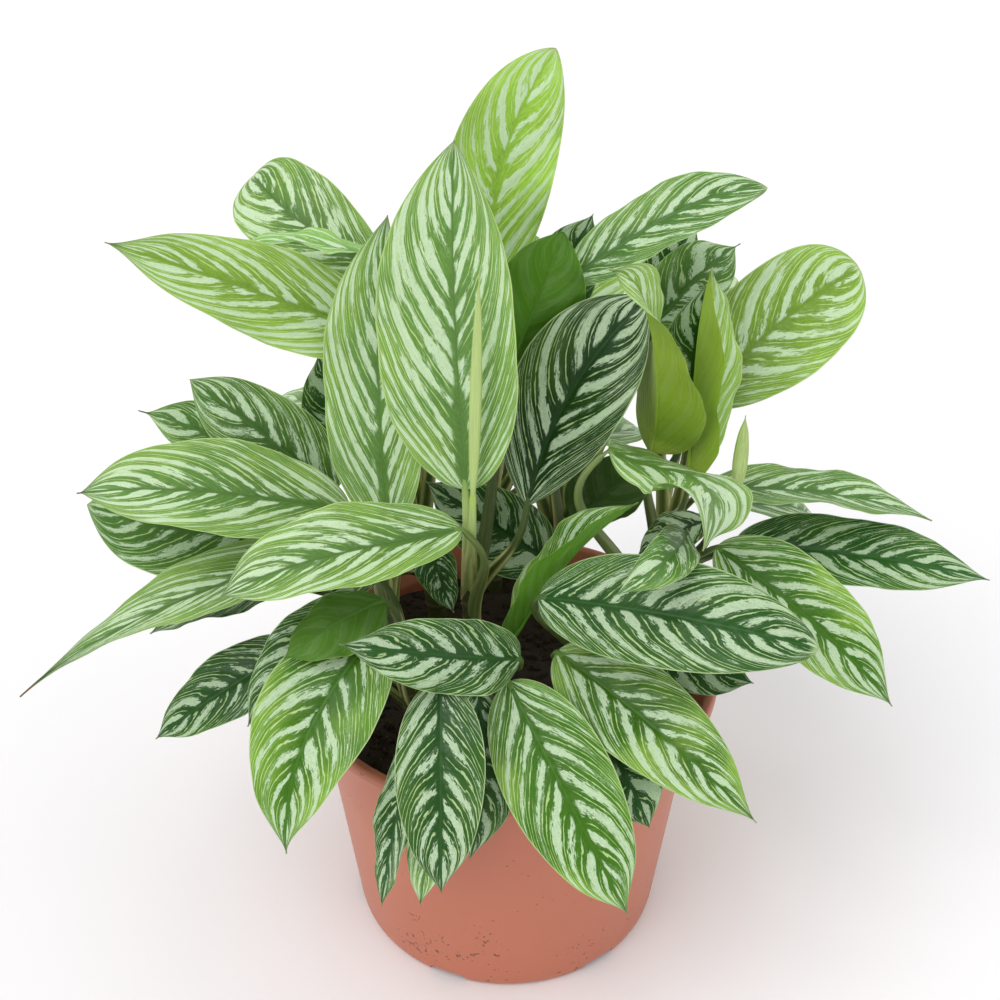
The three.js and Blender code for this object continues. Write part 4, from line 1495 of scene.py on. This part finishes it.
class EVERGREEN_OT_stage(bpy.types.Operator):
    """Lay the pale floor, hang the soft lamps and stand the camera."""

    bl_idname = "evergreen.stage"
    bl_label = "Set the stage"

    def execute(self, context):
        settings = context.scene.evergreen_stage
        scene = context.scene
        mesh = bpy.data.meshes.new("floor")
        mesh.from_pydata(FLOOR, [], [(0, 1, 2, 3)])
        net = Shader("pale floor", Roughness=0.85)
        cloud = net.noise(net.here(), 3, 4)
        tone = net.blend(0.5 + cloud, settings.floor, [x * 0.985 for x in settings.floor])
        mesh.materials.append(net.finish(tone))
        floor = bpy.data.objects.new("floor", mesh)
        scene.collection.objects.link(floor)

        world = bpy.data.worlds.new("studio")
        world.use_nodes = True
        back = world.node_tree.nodes["Background"]
        back.inputs["Color"].default_value = (1, 1, 1, 1)
        air = Net(world.node_tree)
        ray = Wire(air, air.add("ShaderNodeLightPath").outputs["Is Camera Ray"])
        air.feed(back.inputs["Strength"], ray * (settings.backdrop - settings.sky) + settings.sky)
        scene.world = world

        for name, (place, share, spread) in LAMPS.items():
            lamp = bpy.data.lights.new(name, "SUN")
            lamp.energy, lamp.angle = settings.key * share, math.radians(spread)
            holder = bpy.data.objects.new(name, lamp)
            holder.location = place
            holder.rotation_euler = Vector(place).to_track_quat("Z", "Y").to_euler()
            scene.collection.objects.link(holder)

        camera = bpy.data.cameras.new("camera")
        camera.sensor_width = 36
        camera.lens = settings.lens
        camera.clip_end = 30
        holder = bpy.data.objects.new("camera", camera)
        holder.location = CAMERA_PLACE
        holder.rotation_euler = (math.radians(CAMERA_TILT), 0, 0)
        scene.collection.objects.link(holder)
        scene.camera = holder
        scene.view_settings.view_transform = "Standard"
        return {"FINISHED"}


class EVERGREEN_PT_panel(bpy.types.Panel):
    """Lists the plant's settings and the steps that make it."""

    bl_label = "Striped evergreen"
    bl_idname = "EVERGREEN_PT_panel"
    bl_space_type = "VIEW_3D"
    bl_region_type = "UI"
    bl_category = "Evergreen"

    def draw(self, context):
        for title, group, operators in (
            ("Leaves", context.scene.evergreen_leaves, (EVERGREEN_OT_stems,)),
            ("Pot", context.scene.evergreen_pot, (EVERGREEN_OT_pot, EVERGREEN_OT_soil)),
            ("Stage", context.scene.evergreen_stage, (EVERGREEN_OT_stage,)),
        ):
            box = self.layout.box()
            box.label(text=title)
            for key in group.__annotations__:
                box.prop(group, key)
            for operator in operators:
                box.operator(operator.bl_idname)


CLASSES = (
    LeafSettings, PotSettings, StageSettings, EVERGREEN_OT_stems, EVERGREEN_OT_pot,
    EVERGREEN_OT_soil, EVERGREEN_OT_stage, EVERGREEN_PT_panel,
)


GROUPS = {
    "evergreen_leaves": LeafSettings,
    "evergreen_pot": PotSettings,
    "evergreen_stage": StageSettings,
}


def register():
    for item in CLASSES:
        bpy.utils.register_class(item)
    for name, group in GROUPS.items():
        setattr(bpy.types.Scene, name, bpy.props.PointerProperty(type=group))


def unregister():
    for name in GROUPS:
        delattr(bpy.types.Scene, name)
    for item in reversed(CLASSES):
        bpy.utils.unregister_class(item)


def main():
    """Makes the whole plant."""
    register()
    bpy.ops.evergreen.pot()
    bpy.ops.evergreen.soil()
    bpy.ops.evergreen.stems()
    bpy.ops.evergreen.stage()


if __name__ == "__main__":
    main()
